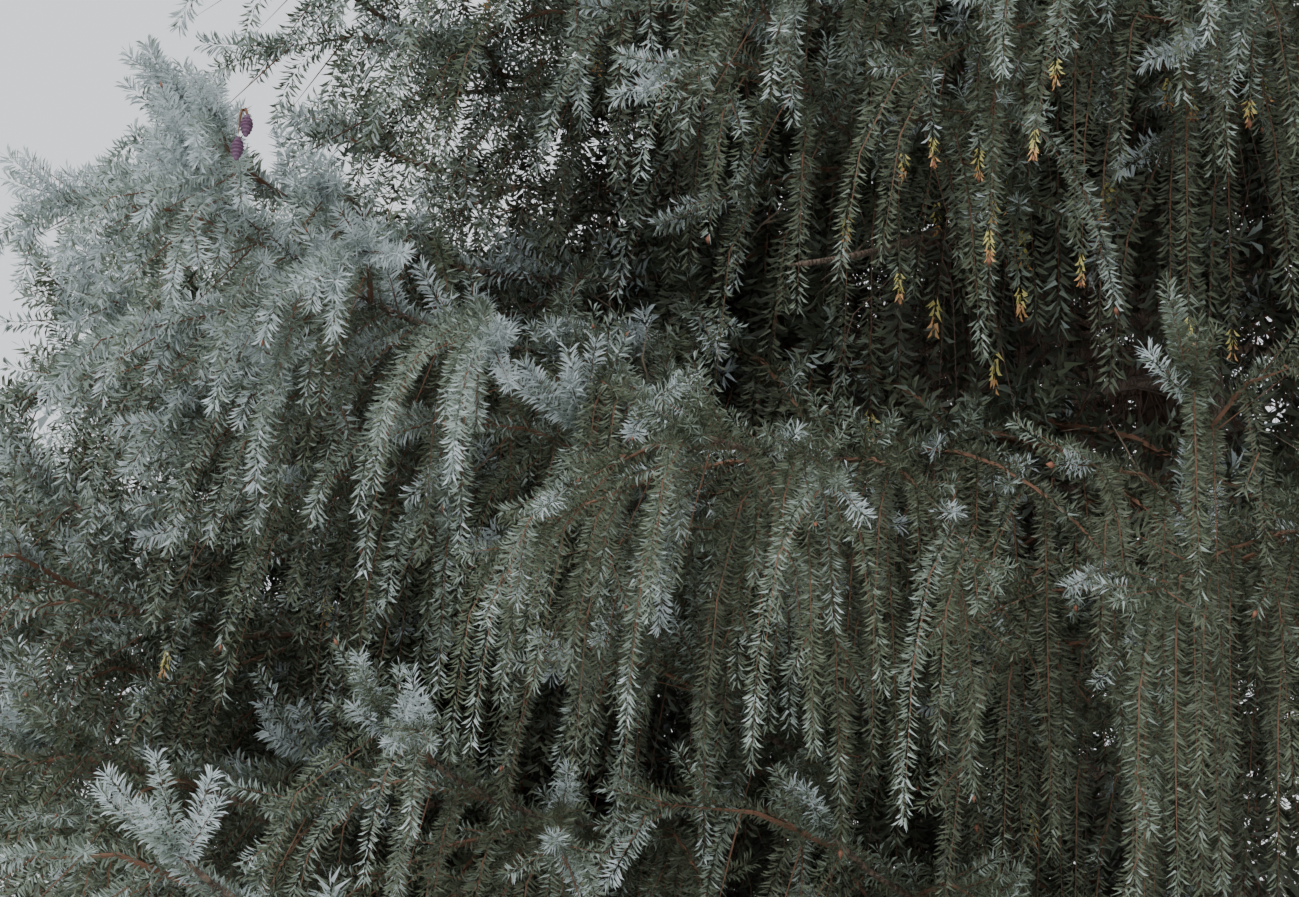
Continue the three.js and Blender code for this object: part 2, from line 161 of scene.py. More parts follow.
# Height and azimuth of the first lesser bough, and the ranges that the values of all are drawn from
LESSER_START, LESSER_FIRST_TURN = 0.98, 0.7
LESSER_BEND, LESSER_LIFT, LESSER_BLOOM = (-0.15, 0.15), (0.17, 0.26), (0.2, 0.8)
LESSER_STEP, LESSER_TURN = (0.75, 1.25), (-0.2, 0.2)
PLACED_BEND = (-0.08, 0.08)

# The side where lesser boughs up to a height have little bloom
OLIVE_SIDE = math.radians(272)
OLIVE_HALF_SECTOR = math.radians(31)
OLIVE_TOP = 2.4
OLIVE_BLOOM = 0.15

# Lesser boughs with a place of their own, which close the photographed side: height, azimuth in
# degrees, reach, lift, bloom and how crowded their shoots are
PLACED_BOUGHS = (
    (1.50, 219, 1.90, 0.20, 0.35, 1.0), (1.72, 212, 1.86, 0.22, 0.6, 1.0), (1.80, 196, 1.86, 0.18, 0.3, 1.0),
    (1.97, 204, 1.84, 0.20, 0.65, 1.0), (2.08, 224, 1.72, 0.22, 0.8, 1.0), (2.16, 193, 1.80, 0.20, 0.3, 1.0),
    (2.22, 209, 1.80, 0.22, 0.9, 1.0), (2.36, 199, 1.76, 0.18, 0.5, 1.0), (1.66, 191, 1.86, 0.20, 0.3, 1.0),
    (2.02, 188, 1.84, 0.20, 0.3, 1.0), (1.42, 243, 1.86, 0.22, 0.4, 1.0), (1.52, 262, 1.80, 0.22, 0.3, 1.2),
    (1.62, 249, 1.66, 0.22, 0.3, 1.0), (1.73, 232, 1.88, 0.22, 0.5, 1.2), (2.46, 238, 1.52, 0.22, 0.6, 1.0),
    (2.60, 247, 1.58, 0.22, 0.8, 1.2), (2.64, 229, 1.58, 0.22, 0.8, 1.0), (2.82, 240, 1.50, 0.22, 0.7, 1.0),
    (2.50, 268, 1.50, 0.22, 0.9, 1.3), (2.72, 262, 1.52, 0.22, 0.9, 1.3), (2.16, 247, 1.85, 0.12, 0.25, 1.6),
    (2.09, 262, 1.78, 0.10, 0.0, 1.8), (1.76, 240, 1.58, 0.22, 0.3, 1.0), (1.90, 198, 1.80, 0.20, 0.6, 1.2),
    (2.08, 201, 1.78, 0.20, 0.7, 1.2), (2.28, 190, 1.74, 0.20, 0.4, 1.2), (1.86, 184, 1.86, 0.20, 0.3, 1.0),
    (2.12, 181, 1.82, 0.20, 0.3, 1.0), (2.30, 178, 1.70, 0.20, 0.4, 1.0), (1.70, 178, 1.86, 0.20, 0.3, 1.0),
    (2.00, 174, 1.80, 0.20, 0.3, 1.0), (2.50, 192, 1.62, 0.20, 0.4, 1.2), (2.45, 182, 1.60, 0.20, 0.4, 1.0),
    (2.70, 222, 1.50, 0.20, 0.7, 1.3), (2.85, 220, 1.48, 0.20, 0.7, 1.2), (2.42, 206, 1.62, 0.20, 0.8, 1.2),
    (2.62, 213, 1.58, 0.20, 0.8, 1.3), (2.92, 230, 1.46, 0.20, 0.7, 1.2), (2.27, 227, 1.92, 0.22, 1.35, 2.2),
    (2.62, 98, 1.50, 0.20, 0.4, 1.0), (2.50, 106, 1.50, 0.20, 0.4, 1.0), (2.75, 90, 1.50, 0.20, 0.4, 1.0),
    (2.90, 70, 1.45, 0.20, 0.4, 1.0), (2.72, 76, 1.50, 0.20, 0.4, 1.0), (2.45, 88, 1.55, 0.20, 0.4, 1.0),
    (2.60, 112, 1.50, 0.20, 0.4, 1.0),
)

# Bare dead boughs on the same side, which fine dead twigs hang from: height, azimuth in degrees and reach
BARE_BOUGHS = ((2.42, 242, 1.56), (2.32, 262, 1.20), (2.50, 252, 1.25))
BARE_LIFT = 0.05
BARE_THICKNESS = 0.8

# Shoots are no more crowded than this on a bare bough, so that none grow there
BARE_CROWDING = 0.001

# Thickness of lesser boughs beside that of main ones
LESSER_THICKNESS = 0.62

# How far a shoot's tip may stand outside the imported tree's box, and its least height
REACH_MARGIN = np.array((0.07, 0.07, 0.02))
LOWEST_TIP = 0.5

# Side twigs: angle from the bough at its root, how much that narrows towards its tip and its scatter, in
# degrees, the share of the bough that the last one stands at, and the power of crowding in their spacing
TWIG_ANGLE, TWIG_NARROWING, TWIG_ANGLE_SCATTER = 62, 26, 9
LAST_TWIG = 0.97
TWIG_CROWDING_POWER = 0.5

# Their length as a share of the bough's reach, how much that shortens towards the tip, its range and least
TWIG_SHARE, TWIG_SHORTENING, LEAST_TWIG = 0.31, 0.74, 0.05
TWIG_SIZES = (0.7, 1.15)

# Their droop by height and its scatter, rise of their middle, stretch of their tip, the bloom from which
# they are grey-green, the part with needles, and the radius that those stand on
TWIG_DROOP, DROOP_SCATTER = ((1.0, 0.26), (3.0, 0.2), (6.0, -0.1)), 0.08
TWIG_RISE, TWIG_STRETCH, GREY_TWIG_BLOOM = 0.05, 0.95, 0.5
TWIG_COVER, TWIG_RADIUS = (0.1, 1.0), 0.002

# How far out in the crown shoots are: shares of their side twig's place and of their own, and the share for
# those on boughs. Paler, shorter and wider-swung ones start beyond a depth, by a slope
TWIG_DEPTH, OWN_DEPTH, BOUGH_DEPTH = 0.8, 0.3, 0.85
SPREAD_SLOPE, SPREAD_START = 2.2, 1.1

# Hanging shoots: how straight they hang by height, their length by height and by coarseness, and its range
HANG = ((2.8, 1.0), (5.0, 0.8), (8.0, 0.35))
HANGING_SIZE = ((1.0, 0.85), (2.0, 0.95), (2.7, 0.97), (3.2, 1.15), (4.5, 1.1), (6.0, 0.85), (7.4, 0.48),
                (8.4, 0.15))
COARSE_HANGING_SIZE = ((1.6, 1.0), (2.6, 1.15))
HANGING_SIZES = (0.4, 1.1)

# How much shorter depth and spread make them, and how much less spread lets them hang
DEPTH_SHORTER, SPREAD_SHORTER, SPREAD_LIFT = 0.3, 0.35, 0.3

# Shares of their heading that point away from the trunk and along their twig, its scatter, the range of
# their swing outwards, and how much high and spread ones swing more
OUTWARD_SHARE, ALONG_SHARE, HANGING_SCATTER = 0.6, 0.7, 0.45
HANGING_SWING, HIGH_SWING, SPREAD_SWING = (0.08, 0.40), 0.5, 0.3

# How far out and down their middle and their tip are, and the part of a twig that they grow from
HANGING_MIDDLE, HANGING_TIP = (0.95, 0.12), (1.15, 0.92)
HANGING_START, HANGING_COVER = 0.08, (0.03, 1.0)

# How light they are by spread, the scatter of it, and up to what lightness they are of each tone. Their
# lightness also grows with depth, which paints shade: darker tones near the trunk, lighter ones out at the
# crown's edge
SPREAD_LIGHT, LIGHT_SCATTER = 1.3, 0.2
SHADE_LIGHT, OLIVE_LIGHT, GREEN_LIGHT, GREY_LIGHT = 0.35, 0.9, 1.25, 2.0

# Outer shoots: distances along a side twig and along a bough, where they start on a twig, the range of their
# length, how it goes with coarseness and height, scatter and flatness of their heading, range of their rise
TWIG_OUTER_SPACING, BOUGH_OUTER_SPACING, OUTER_START = 0.075, 0.034, 0.1
OUTER_SIZES, OUTER_SIZE_POWER, OUTER_SIZE = (0.7, 1.25), 0.6, ((7.2, 1.0), (8.6, 0.45))
OUTER_SCATTER, OUTER_FLATNESS, OUTER_RISE = 0.42, 0.6, (0.4, 1.3)

# How far out and up their middle and their tip are, and their tone: its start, its share of the bloom and
# its scatter
OUTER_MIDDLE, OUTER_TIP = (0.5, 0.15), (0.85, 0.6)
TONE_START, TONE_BY_BLOOM, TONE_SCATTER = 0.4, 3.4, 0.9

# Lift and length of those on side twigs, at their ends, on boughs and at their tips
ON_TWIG, AT_TWIG_END, ON_BOUGH, AT_BOUGH_TIP = (0.6, 0.06), (0.3, 0.08), (0.7, 0.075), (0.4, 0.09)

# How many stand at the end of a twig and of a bough, the share of its length that they stand at, and the
# bloom of those on twigs and at their ends: a start and a gain
TWIG_END_COUNT, TWIG_END, BOUGH_END_COUNT, BOUGH_END = 3, 0.97, 6, 0.985
TWIG_BLOOM, TWIG_END_BLOOM = (0.4, 0.6), (0.35, 0.65)

# Side shoots: distance along a hanging shoot, the part of it that they stand on, the share of hanging shoots
# that have them, the range of their length, the power of coarseness in it, and its start and loss downwards
SIDE_SHOOT_SPACING, SIDE_SHOOT_PART, BRANCHING_SHARE = 0.10, (0.12, 0.8), 0.3
SIDE_SHOOT_SIZES, SIDE_SHOOT_POWER, SIDE_SHOOT_TAPER = (0.03, 0.085), 0.7, (1.15, 0.6)

# Shares of their heading away from and along their parent, how far along it and on their tip is, and how
# many are a tone lighter
SIDE_SHOOT_HEADING, SIDE_SHOOT_TIP, LIGHTER_SIDE_SHARE = (0.6, 0.8), (0.9, 0.16), 0.3

# Needled lengths of the leader, and its bare top
LEADER_STEP, LEADER_BARE = 0.12, 0.05

# Needled lengths of boughs, the bloom from which they are grey-green, and their core as a share of the
# bough's radius
SLEEVE_STEP, GREY_SLEEVE_BLOOM, SLEEVE_CORE = 0.1, 0.6, 0.9

# A shoot counts as straight where its bend is less than this share of its squared length
STRAIGHT = 1e-3

# The part of an even step along a parent in which its child stands
STEP_SCATTER = (0.1, 0.9)

# How many times life size needles and twigs are: by height, by the distance from where the photographed
# side is seen, further in than a share of the crown's outline, and on the other sides
COARSENESS = ((0.5, 3.6), (1.2, 3.0), (1.35, 1.8), (1.45, 1.0), (2.75, 1.0), (2.95, 2.4), (3.4, 3.4),
              (5.0, 3.7), (7.0, 3.4), (8.8, 2.4))
SEEN_FROM = np.array((-0.84, -3.6, 1.55))
FINEST_DISTANCE = 2.05
INNER_SHARE = 0.7
INNER_FADE = 0.45
INNER_COARSENESS = 3.0
FAR_SIDE_COARSENESS = 3.5
FAR_SIDE_TOP = 3.6
PHOTOGRAPHED_SIDE = math.radians(233)
PHOTOGRAPHED_HALF_SECTOR = math.radians(42)
FAR_SIDE_FADE = math.radians(15)

# The gaps that show sky and the inside of the crown on the photographed side, as tangents of the line of
# sight to the left, right, bottom and top, and the coarsest needles seen through them
SKY_GAPS = ((-0.22, -0.04, 0.19, 0.36), (0.09, 0.30, 0.14, 0.26))
SEEN_COARSENESS = 2.2

# How the numbers and sizes of needles go with their coarseness, as powers of it
NUMBER_POWER = 1.77
LENGTH_POWER = 1.08
WIDTH_POWER = 1.62

# How the distances between side twigs, hanging shoots and outer shoots go with it
SIDE_POWER = 0.3
SPACING_POWER = 1.0
OUTER_POWER = 0.75

# Where a needle is widest, as a share of its length, and how many are widest at the foot instead
SHOULDER = 0.68
BROAD_FOOT_SHARE = 0.4

# Share of outer shoots that are paler than those round them, and by how much bloom
ROSETTE_SHARE = 0.12
ROSETTE_BLOOM = 0.8

# Share of coarse needles that are one tone darker, which makes up for the shade between fine ones
COARSE_DARKER_SHARE = 0.5

# Lengths of the lighter end of a shoot, of its new growth and of the youngest of that
LIGHT_END = 0.03
YOUNG_LENGTH = 0.018
YOUNGEST_LENGTH = 0.007

# How much longer and closer together needles are on blue-white shoots
VIGOUR = 1.15
VIGOROUS_NUMBER = 1.45

# Radius of a shoot's core, the radius from which needles crowd in proportion to it, up to how many times,
# and the fewest needles on a shoot
CORE_RADIUS, CROWDED_CORE, CROWDED_LIMIT = 0.0012, 0.004, 3
FEWEST_NEEDLES = 4

# Coarseness up to which blue-white shoots are more vigorous
VIGOROUS_COARSENESS = 1.5

# Lean of a needle from its shoot and its scatter in degrees, and how much less it leans and how much
# shorter it is at the shoot's end, each with the power of its place
NEEDLE_LEAN, LEAN_SCATTER = 64, 9
END_LEAN, END_LEAN_POWER, END_SHORTER, END_SHORTER_POWER = 30, 8, 0.1, 6

# Range of a needle's length, scatter of its turn round the shoot and of its roll, turn from shoot to shoot,
# and lean and length of young needles beside others
NEEDLE_SIZES, NEEDLE_TURN_SCATTER, NEEDLE_ROLL_SCATTER, SHOOT_TURN = (0.8, 1.1), 0.6, 0.55, 1.7
YOUNG_LEAN, YOUNG_SHORTER = 0.65, 0.72

# Share of needles that are a tone lighter than their shoot, share that aren't a tone darker, share that are
# a tone lighter at its end, and the coarseness beyond which more are a tone darker as painted shade
LIGHTER_SHARE, NOT_DARKER_SHARE, LIGHT_END_SHARE = 0.16, 0.88, 0.75
DARKER_COARSENESS = 2

# New growth: heights, left edge and front of the sunny part, its share of shoots and the share elsewhere,
# the coarseness up to which it shows, and how much a shoot falls and its least length
SUNNY_HEIGHTS, SUNNY_LEFT, SUNNY_FRONT = (1.9, 3.2), -0.75, -0.9
SUNNY_GROWTH, OTHER_GROWTH, GROWTH_COARSENESS = 0.27, 0.01, 1.9
FALLING_SHARE, FALLING_LENGTH = 0.6, 0.15

# Needles of one piece, up to the next whole bough, and how far above its boughs a tier may be that it
# stands for
NEEDLES_PER_PIECE = 165000
TIER_MARGIN = 0.2

# Cores of side twigs and of shoots: radius at foot and tip, sides, and rings for each metre. The power of
# coarseness in their thickness, and the most steps of one
TWIG_TUBE, SHOOT_TUBE = (0.0030, 0.0012, 4, 12), (0.0011, 0.0006, 3, 9)
TUBE_POWER, MOST_STEPS = 0.7, 6

# Buds: share of shoots with new growth and of others, coarseness up to which they show, their size, and how
# far their foot and tip are from the middle
BUD_SHARE, OTHER_BUD_SHARE, BUD_COARSENESS = 0.9, 0.04, 1.3
BUD_SIZES, BUD_FOOT, BUD_TIP = (0.0020, 0.0034), 1.6, 2.2

# Dead twigs: highest and shortest bough that has them, distance, part of the bough, turn from it, and length
# with its start and loss towards the tip
DEAD_TOP, DEAD_REACH, DEAD_SPACING, DEAD_PART = 4.5, 0.9, 0.21, (0.12, 0.75)
DEAD_TURN, DEAD_SIZES, DEAD_SHORTENING = (0.5, 1.5), (0.14, 0.5), (1.1, 0.7)

# Their rings, wander from ring to ring, fall, radius with its loss, and its range
DEAD_RINGS, DEAD_WANDER, DEAD_FALL = 6, 0.045, (0.1, 0.8)
DEAD_RADIUS, DEAD_TAPER, DEAD_THICKNESSES = 0.0024, 0.0016, (0.7, 1.4)

# Snags on them: the rings they stand at, length, places and radii of their three points, and scatter of
# the middle one
SNAG_RINGS, SNAG_SIZES, SNAG_POINTS = (2, 3, 4), (0.03, 0.11), (0.0, 0.55, 1.0)
SNAG_RADII, SNAG_SCATTER = (0.0015, 0.0011, 0.0005), 0.006

# Distance between the fine dead twigs that hang from a bough on the photographed side
FRINGE_SPACING = 0.03

# The part of a bough that they hang from, the heights and least reach of such boughs, and how near the
# middle of the photographed side they are, as a cosine
FRINGE_START, FRINGE_END = 0.12, 0.72
FRINGE_HEIGHTS, FRINGE_REACH, FRINGE_SIDE = (1.3, 3.3), 1.2, 0.3

# How many times as many hang from bare boughs, from those on the photographed side, and from others
BARE_FRINGE, NEAR_FRINGE, OTHER_FRINGE = 3, 1, 0.3

# Their length and how far they leave level, the powers of the way out and down, and their radii and scatter
FRINGE_SIZES, FRINGE_LEVEL, FRINGE_POWERS = (0.08, 0.34), (0.1, 0.6), (0.8, 1.8)
FRINGE_RADII, FRINGE_THICKNESSES, FRINGE_SCATTER = (0.0009, 0.0007, 0.0003), (0.7, 1.3), 0.006

# Young cones: length, width as a share of it, rows of scales, scales in a row, and how many pairs
# hang beside the pair that the bough with the broad pale end carries
CONE_LENGTH = 0.027
CONE_SLIMNESS = 0.5
CONE_ROWS = 7
CONE_SCALES = 9
CONE_TIER = TIERS[5]
CONE_PAIRS = 16

# The cone's outline: how blunt its ends are, its skew to the foot and its fullness, radius at the lips and
# in the grooves, and how far a lip hangs
CONE_ENDS, CONE_SKEW, CONE_FULLNESS = (0.03, 0.97), 0.85, 0.65
SCALE_LIP, SCALE_GROOVE, SCALE_DROP, CONE_FOOT = 1.1, 0.86, 0.03, 1.02

# Range of their length, how much lower the second of a pair is, how far a cone leans out and its scatter
CONE_SIZES, SECOND_DROP, CONE_LEAN, CONE_SCATTER = (0.85, 1.15), 0.75, 0.2, 0.08

# Stalks: radius, sides, rise of the arch, and how far they end in the cone
STALK_RADIUS, STALK_SIDES, STALK_ARCH, STALK_END = 0.0013, 4, 0.004, 0.002

# How high the other pairs are, on any side and on the far one
CONE_HEIGHT, FAR_CONE_HEIGHT = 3.3, 2.2

# Where the first pair hangs: its share along the bough and height over it, how far a tip may be from that
# sight line, and how far out in the crown the other pairs' tips are
CONE_SHARE = 0.97
CONE_RISE = 0.05
CONE_ASIDE = 0.025
CONE_OUTER_SHARE = 0.8
CONE_SPREAD = 0.005

# How far the first pair stands out towards the eye, clear of the needles round it
CONE_CLEAR = 0.014

UP = np.array((0.0, 0.0, 1.0))

# Needle tones from deep shade to bloom-white, then the new growth. The darker tones are partly painted
# shade, given to needles deeper in the crown
TONES = ("shade", "olive", "green", "grey", "blue", "pale", "gold", "rust")
SHADE, OLIVE, GREEN, GREY, BLUE, PALE, GOLD, RUST = range(len(TONES))


def length_setting(name, description, default):
    """A length that a user may change."""
    return bpy.props.FloatProperty(name=name, description=description, default=default, unit="LENGTH")


def colour_setting(name, description, default):
    """A colour that a user may change."""
    return bpy.props.FloatVectorProperty(
        name=name, description=description, default=default, subtype="COLOR")


class SpruceSettings(bpy.types.PropertyGroup):
    """Sizes and colours of the tree that a user would change."""

    needle_length: length_setting("Needle length", "Length of a full-grown needle", 0.0118)
    needle_width: length_setting("Needle width", "Width of a needle", 0.0022)
    needles_per_metre: bpy.props.FloatProperty(
        name="Needles per metre", description="Needles on a metre of shoot", default=1350.0)
    side_spacing: length_setting("Side twig spacing", "Distance between side twigs on a bough", 0.105)
    hanging_spacing: length_setting(
        "Hanging shoot spacing", "Distance between the shoots that hang from a twig", 0.054)
    hanging_length: length_setting("Hanging shoot length", "Length of the longest hanging shoots", 0.46)
    # Shade, olive and green are partly painted shade: hanging needles take them by how deep in the crown
    # they hang, the darkest nearest the trunk
    shade: colour_setting("Shade", "Needles deep in the crown", (0.048, 0.054, 0.036))
    olive: colour_setting("Olive", "Older hanging needles", (0.070, 0.082, 0.048))
    green: colour_setting("Green", "Upper faces of hanging needles", (0.092, 0.113, 0.066))
    grey: colour_setting("Grey-green", "Needles with a thin bloom", (0.162, 0.200, 0.152))
    blue: colour_setting("Blue-green", "Needles of the outer shoots", (0.290, 0.350, 0.315))
    pale: colour_setting("Bloom", "White-banded undersides", (0.465, 0.528, 0.535))
    gold: colour_setting("New growth", "This year's yellow-green needles", (0.500, 0.450, 0.150))
    rust: colour_setting("Youngest growth", "Ends of this year's shoots", (0.520, 0.290, 0.120))
    bud: colour_setting("Bud", "Red-brown bud scales", (0.230, 0.095, 0.055))
    fringe: colour_setting("Fine dead twig", "Red-brown fine dead twigs", (0.165, 0.096, 0.070))
    twig: colour_setting("Twig", "Orange-brown bark of living twigs", (0.150, 0.074, 0.043))
    dead_twig: colour_setting("Dead twig", "Grey-brown dead wood", (0.210, 0.160, 0.115))
    bark: colour_setting("Bark", "Scaly bark of trunk and boughs", (0.140, 0.102, 0.076))
    cone: colour_setting("Cone", "Young purple cones", (0.075, 0.034, 0.066))


def settings():
    """The scene's spruce settings."""
    return bpy.context.scene.spruce_settings


# The growth rule

def seeded(*keys):
    """A number from 0 to 1 that depends only on the seed and the keys: multiply, fold by 15 bits,
    and at the end multiply and fold by 13 bits, all in 32 bits."""
    state = SEED
    for key in keys:
        state = ((state ^ (key + 1)) * 0x9E3779B1) & 0xFFFFFFFF
        state ^= state >> 15
    state = (state * 0x85EBCA6B) & 0xFFFFFFFF
    return (state ^ (state >> 13)) / 2**32


def signed(*keys):
    """The seeded number from -1 to 1."""
    return 2 * seeded(*keys) - 1


def unit(vectors):
    """Vectors divided by their lengths."""
    return vectors / np.maximum(np.linalg.norm(vectors, axis=-1, keepdims=True), 1e-12)


def turned(vectors, angle):
    """Vectors turned about the vertical: x cos - y sin, x sin + y cos, z."""
    c, s = np.cos(angle), np.sin(angle)
    x, y, z = vectors.T
    return np.stack((x * c - y * s, x * s + y * c, z), axis=1)


def from_table(value, table):
    """The number that a table of pairs gives for a value, in proportion between its rows."""
    return np.interp(value, *zip(*table))


def square_to(directions, tilt):
    """Directions square to others: their cross products with a vertical that is tilted a little."""
    return np.cross(directions, UP + tilt)


def coarseness(points):
    """How many times life size the needles at some points are: the largest of the height's size,
    the distance's, the far side's and the size near the trunk."""
    x, y, z = points.T
    away = np.abs((np.arctan2(y, x) - PHOTOGRAPHED_SIDE + math.pi) % (2 * math.pi) - math.pi)
    far = np.clip((away - PHOTOGRAPHED_HALF_SECTOR) / FAR_SIDE_FADE, 0, 1)
    outer = np.maximum(from_table(z, COARSENESS), 1 + (FAR_SIDE_COARSENESS - 1) * far * (z < FAR_SIDE_TOP))
    inner = np.clip((INNER_SHARE * from_table(z, CROWN_OUTLINE) - np.hypot(x, y)) / INNER_FADE, 0, 1)
    distance = np.linalg.norm(points - SEEN_FROM, axis=1) / FINEST_DISTANCE
    return np.maximum.reduce((outer, distance, 1 + (INNER_COARSENESS - 1) * inner))


def trunk_axis(height):
    """The trunk's axis: two slow sines of height that fade in above the foot."""
    height = np.asarray(height, dtype=float)
    turn = height / TRUNK_HEIGHT * math.pi
    sway = TRUNK_SWAY * np.minimum(height / SWAY_FADE, 1)
    x = sway * np.sin(SWAY_TURNS[0] * turn)
    y = sway * np.sin(SWAY_TURNS[1] * turn + SWAY_PHASE)
    return np.stack((x, y, height), axis=-1)


def trunk_radius(height, angle):
    """The trunk's radius: a power taper plus a root flare that dies away by e every FLARE_HEIGHT,
    lobed by a cosine of the angle."""
    share = np.maximum(1 - height / TRUNK_HEIGHT, 0)
    taper = TRUNK_TIP_RADIUS + (TRUNK_RADIUS - TRUNK_TIP_RADIUS) * share**TRUNK_TAPER_POWER
    lobes = 1 + FLARE_LOBE_DEPTH * np.cos(FLARE_LOBES * angle)
    return taper + FLARE_RADIUS * lobes * np.exp(-height / FLARE_HEIGHT)


class Boughs:
    """Bough lines as arrays, one entry for each bough."""

    def __init__(self, rows):
        columns = [np.array(column, dtype=float) for column in zip(*rows)]
        (self.height, self.turn, self.reach, self.bend, self.lift, self.bloom, self.crowding,
         self.thickness) = columns
        self.bare = from_table(self.height, BARE_SHARES)
        climb = (self.height - SLOPE_HEIGHTS[0]) / (SLOPE_HEIGHTS[1] - SLOPE_HEIGHTS[0])
        self.slope = LOW_SLOPE + (TOP_SLOPE - LOW_SLOPE) * np.clip(climb, 0, 1)

    def point(self, which, share):
        """A bough leaves at a slope, sags by the square of its share and lifts by a high power of it."""
        out = self.reach[which] * share
        turn = self.turn[which] + self.bend[which] * share**2
        climb = self.slope[which] * share - SAG * share**2 + self.lift[which] * share**LIFT_POWER
        foot = trunk_axis(self.height[which])
        line = np.stack((np.cos(turn) * out, np.sin(turn) * out, climb * self.reach[which]), axis=-1)
        return foot + line

    def tangent(self, which, share):
        """The direction of a bough's line, by central difference."""
        return unit(self.point(which, share + TANGENT_STEP) - self.point(which, share - TANGENT_STEP))

    def middles(self):
        """A point well out on every bough."""
        return self.point(np.arange(len(self.height)), np.full(len(self.height), BOUGH_MIDDLE))

    def radius(self, which, share):
        """A bough's radius: a taper from root to tip by a power of the share that is left."""
        root = BOUGH_ROOT_RADIUS_SHARE * self.reach[which] * self.thickness[which]
        return BOUGH_TIP_RADIUS + (root - BOUGH_TIP_RADIUS) * (1 - share)**BOUGH_TAPER_POWER


def main_bough_rows():
    """The boughs of the tiers, scattered by the seed as the solids are."""
    for row, tier in enumerate(TIERS):
        for place in range(tier.count):
            scatter = 0 if place == 0 else 1
            turn = tier.turn + place * 360 / tier.count + scatter * TURN_SCATTER * signed(row, place, 2)
            yield (
                tier.height + scatter * HEIGHT_SCATTER * signed(row, place, 1),
                math.radians(turn),
                tier.reach * (1 + scatter * REACH_SCATTER * signed(row, place, 3)),
                scatter * BEND_SCATTER * signed(row, place, 4),
                tier.lift,
                tier.bloom if place == 0 else BLOOM_MIDDLE + BLOOM_SCATTER * signed(row, place, 5),
                tier.crowding if place == 0 else 1.0,
                1.0,
            )


def lesser_bough_rows():
    """Shorter boughs up the trunk by the golden angle, inside the crown's outline."""
    rng = np.random.default_rng(SEED)
    height, turn = LESSER_START, LESSER_FIRST_TURN
    while height < CROWN_OUTLINE[-1][0]:
        reach = from_table(height, CROWN_OUTLINE) * rng.uniform(*LESSER_REACH)
        bend, lift, bloom = (rng.uniform(*span) for span in (LESSER_BEND, LESSER_LIFT, LESSER_BLOOM))
        olive = height < OLIVE_TOP and math.cos(turn - OLIVE_SIDE) > math.cos(OLIVE_HALF_SECTOR)
        bloom *= OLIVE_BLOOM if olive else 1
        yield height, turn, reach, bend, lift, bloom, 1.0, LESSER_THICKNESS
        height += from_table(height, LESSER_SPACING) * rng.uniform(*LESSER_STEP)
        turn += GOLDEN_TURN + rng.uniform(*LESSER_TURN)
    for height, azimuth, reach, lift, bloom, crowding in PLACED_BOUGHS:
        bend = rng.uniform(*PLACED_BEND)
        yield height, math.radians(azimuth), reach, bend, lift, bloom, crowding, LESSER_THICKNESS
    for height, azimuth, reach in BARE_BOUGHS:
        bend = rng.uniform(*PLACED_BEND)
        yield height, math.radians(azimuth), reach, bend, BARE_LIFT, 0.0, BARE_CROWDING, BARE_THICKNESS


class Shoots:
    """Shoots as arrays: each follows a quadratic curve through its root, bend and tip points."""

    def __init__(self, root, bend, tip, bough, tone, coarse, cover=(0.0, 1.0), core=None):
        count = len(root)
        self.root, self.bend, self.tip = root, bend, tip
        self.bough = np.broadcast_to(bough, count)
        self.tone = np.broadcast_to(tone, count)
        self.coarse = np.broadcast_to(coarse, count)
        self.cover = np.broadcast_to(np.asarray(cover, dtype=float), (count, 2))
        self.core = CORE_RADIUS * self.coarse if core is None else core
        self.length = 0.5 * (np.linalg.norm(tip - root, axis=1)
                             + np.linalg.norm(bend - root, axis=1) + np.linalg.norm(tip - bend, axis=1))

    def point(self, which, t):
        """(1-t)^2 root + 2(1-t)t bend + t^2 tip."""
        t = np.asarray(t)[..., None]
        return (1 - t)**2 * self.root[which] + 2 * (1 - t) * t * self.bend[which] + t**2 * self.tip[which]

    def tangent(self, which, t):
        """The curve's derivative, at unit length."""
        t = np.asarray(t)[..., None]
        bend = self.bend[which]
        return unit((1 - t) * (bend - self.root[which]) + t * (self.tip[which] - bend))

    def normal(self, which):
        """A unit vector square to the plane of the curve."""
        across = np.cross(self.bend - self.root, self.tip - self.root)
        spare = square_to(self.tip - self.root, tilt=0.1)
        weak = np.linalg.norm(across, axis=1) < STRAIGHT * self.length**2
        return unit(np.where(weak[:, None], spare, across))[which]

    def kept(self, mask):
        """Only the shoots of a mask."""
        return Shoots(self.root[mask], self.bend[mask], self.tip[mask], self.bough[mask], self.tone[mask],
                      self.coarse[mask], self.cover[mask], self.core[mask])


def joined(groups):
    """Several groups of shoots as one."""
    fields = ("root", "bend", "tip", "bough", "tone", "coarse", "cover", "core")
    return Shoots(*(np.concatenate([getattr(group, field) for group in groups]) for field in fields))


def shared_out(count):
    """The parent of each child and the child's number there, where each parent has a count of children."""
    parent = np.repeat(np.arange(len(count)), count)
    return parent, np.arange(parent.size) - np.repeat(np.cumsum(count) - count, count)


def stations(length, spacing, rng, start=0.0, stop=1.0):
    """Which parent each child grows from, its number there, and its place along it: even steps,
    scattered within each step."""
    count = np.maximum(np.round(length * (stop - start) / spacing), 0).astype(int)
    which, order = shared_out(count)
    place = start + (stop - start) * (order + rng.uniform(*STEP_SCATTER, which.size)) / count[which]
    return which, order, place


def outward(points):
    """Level unit vectors away from the trunk."""
    return unit(points * (1, 1, 0))


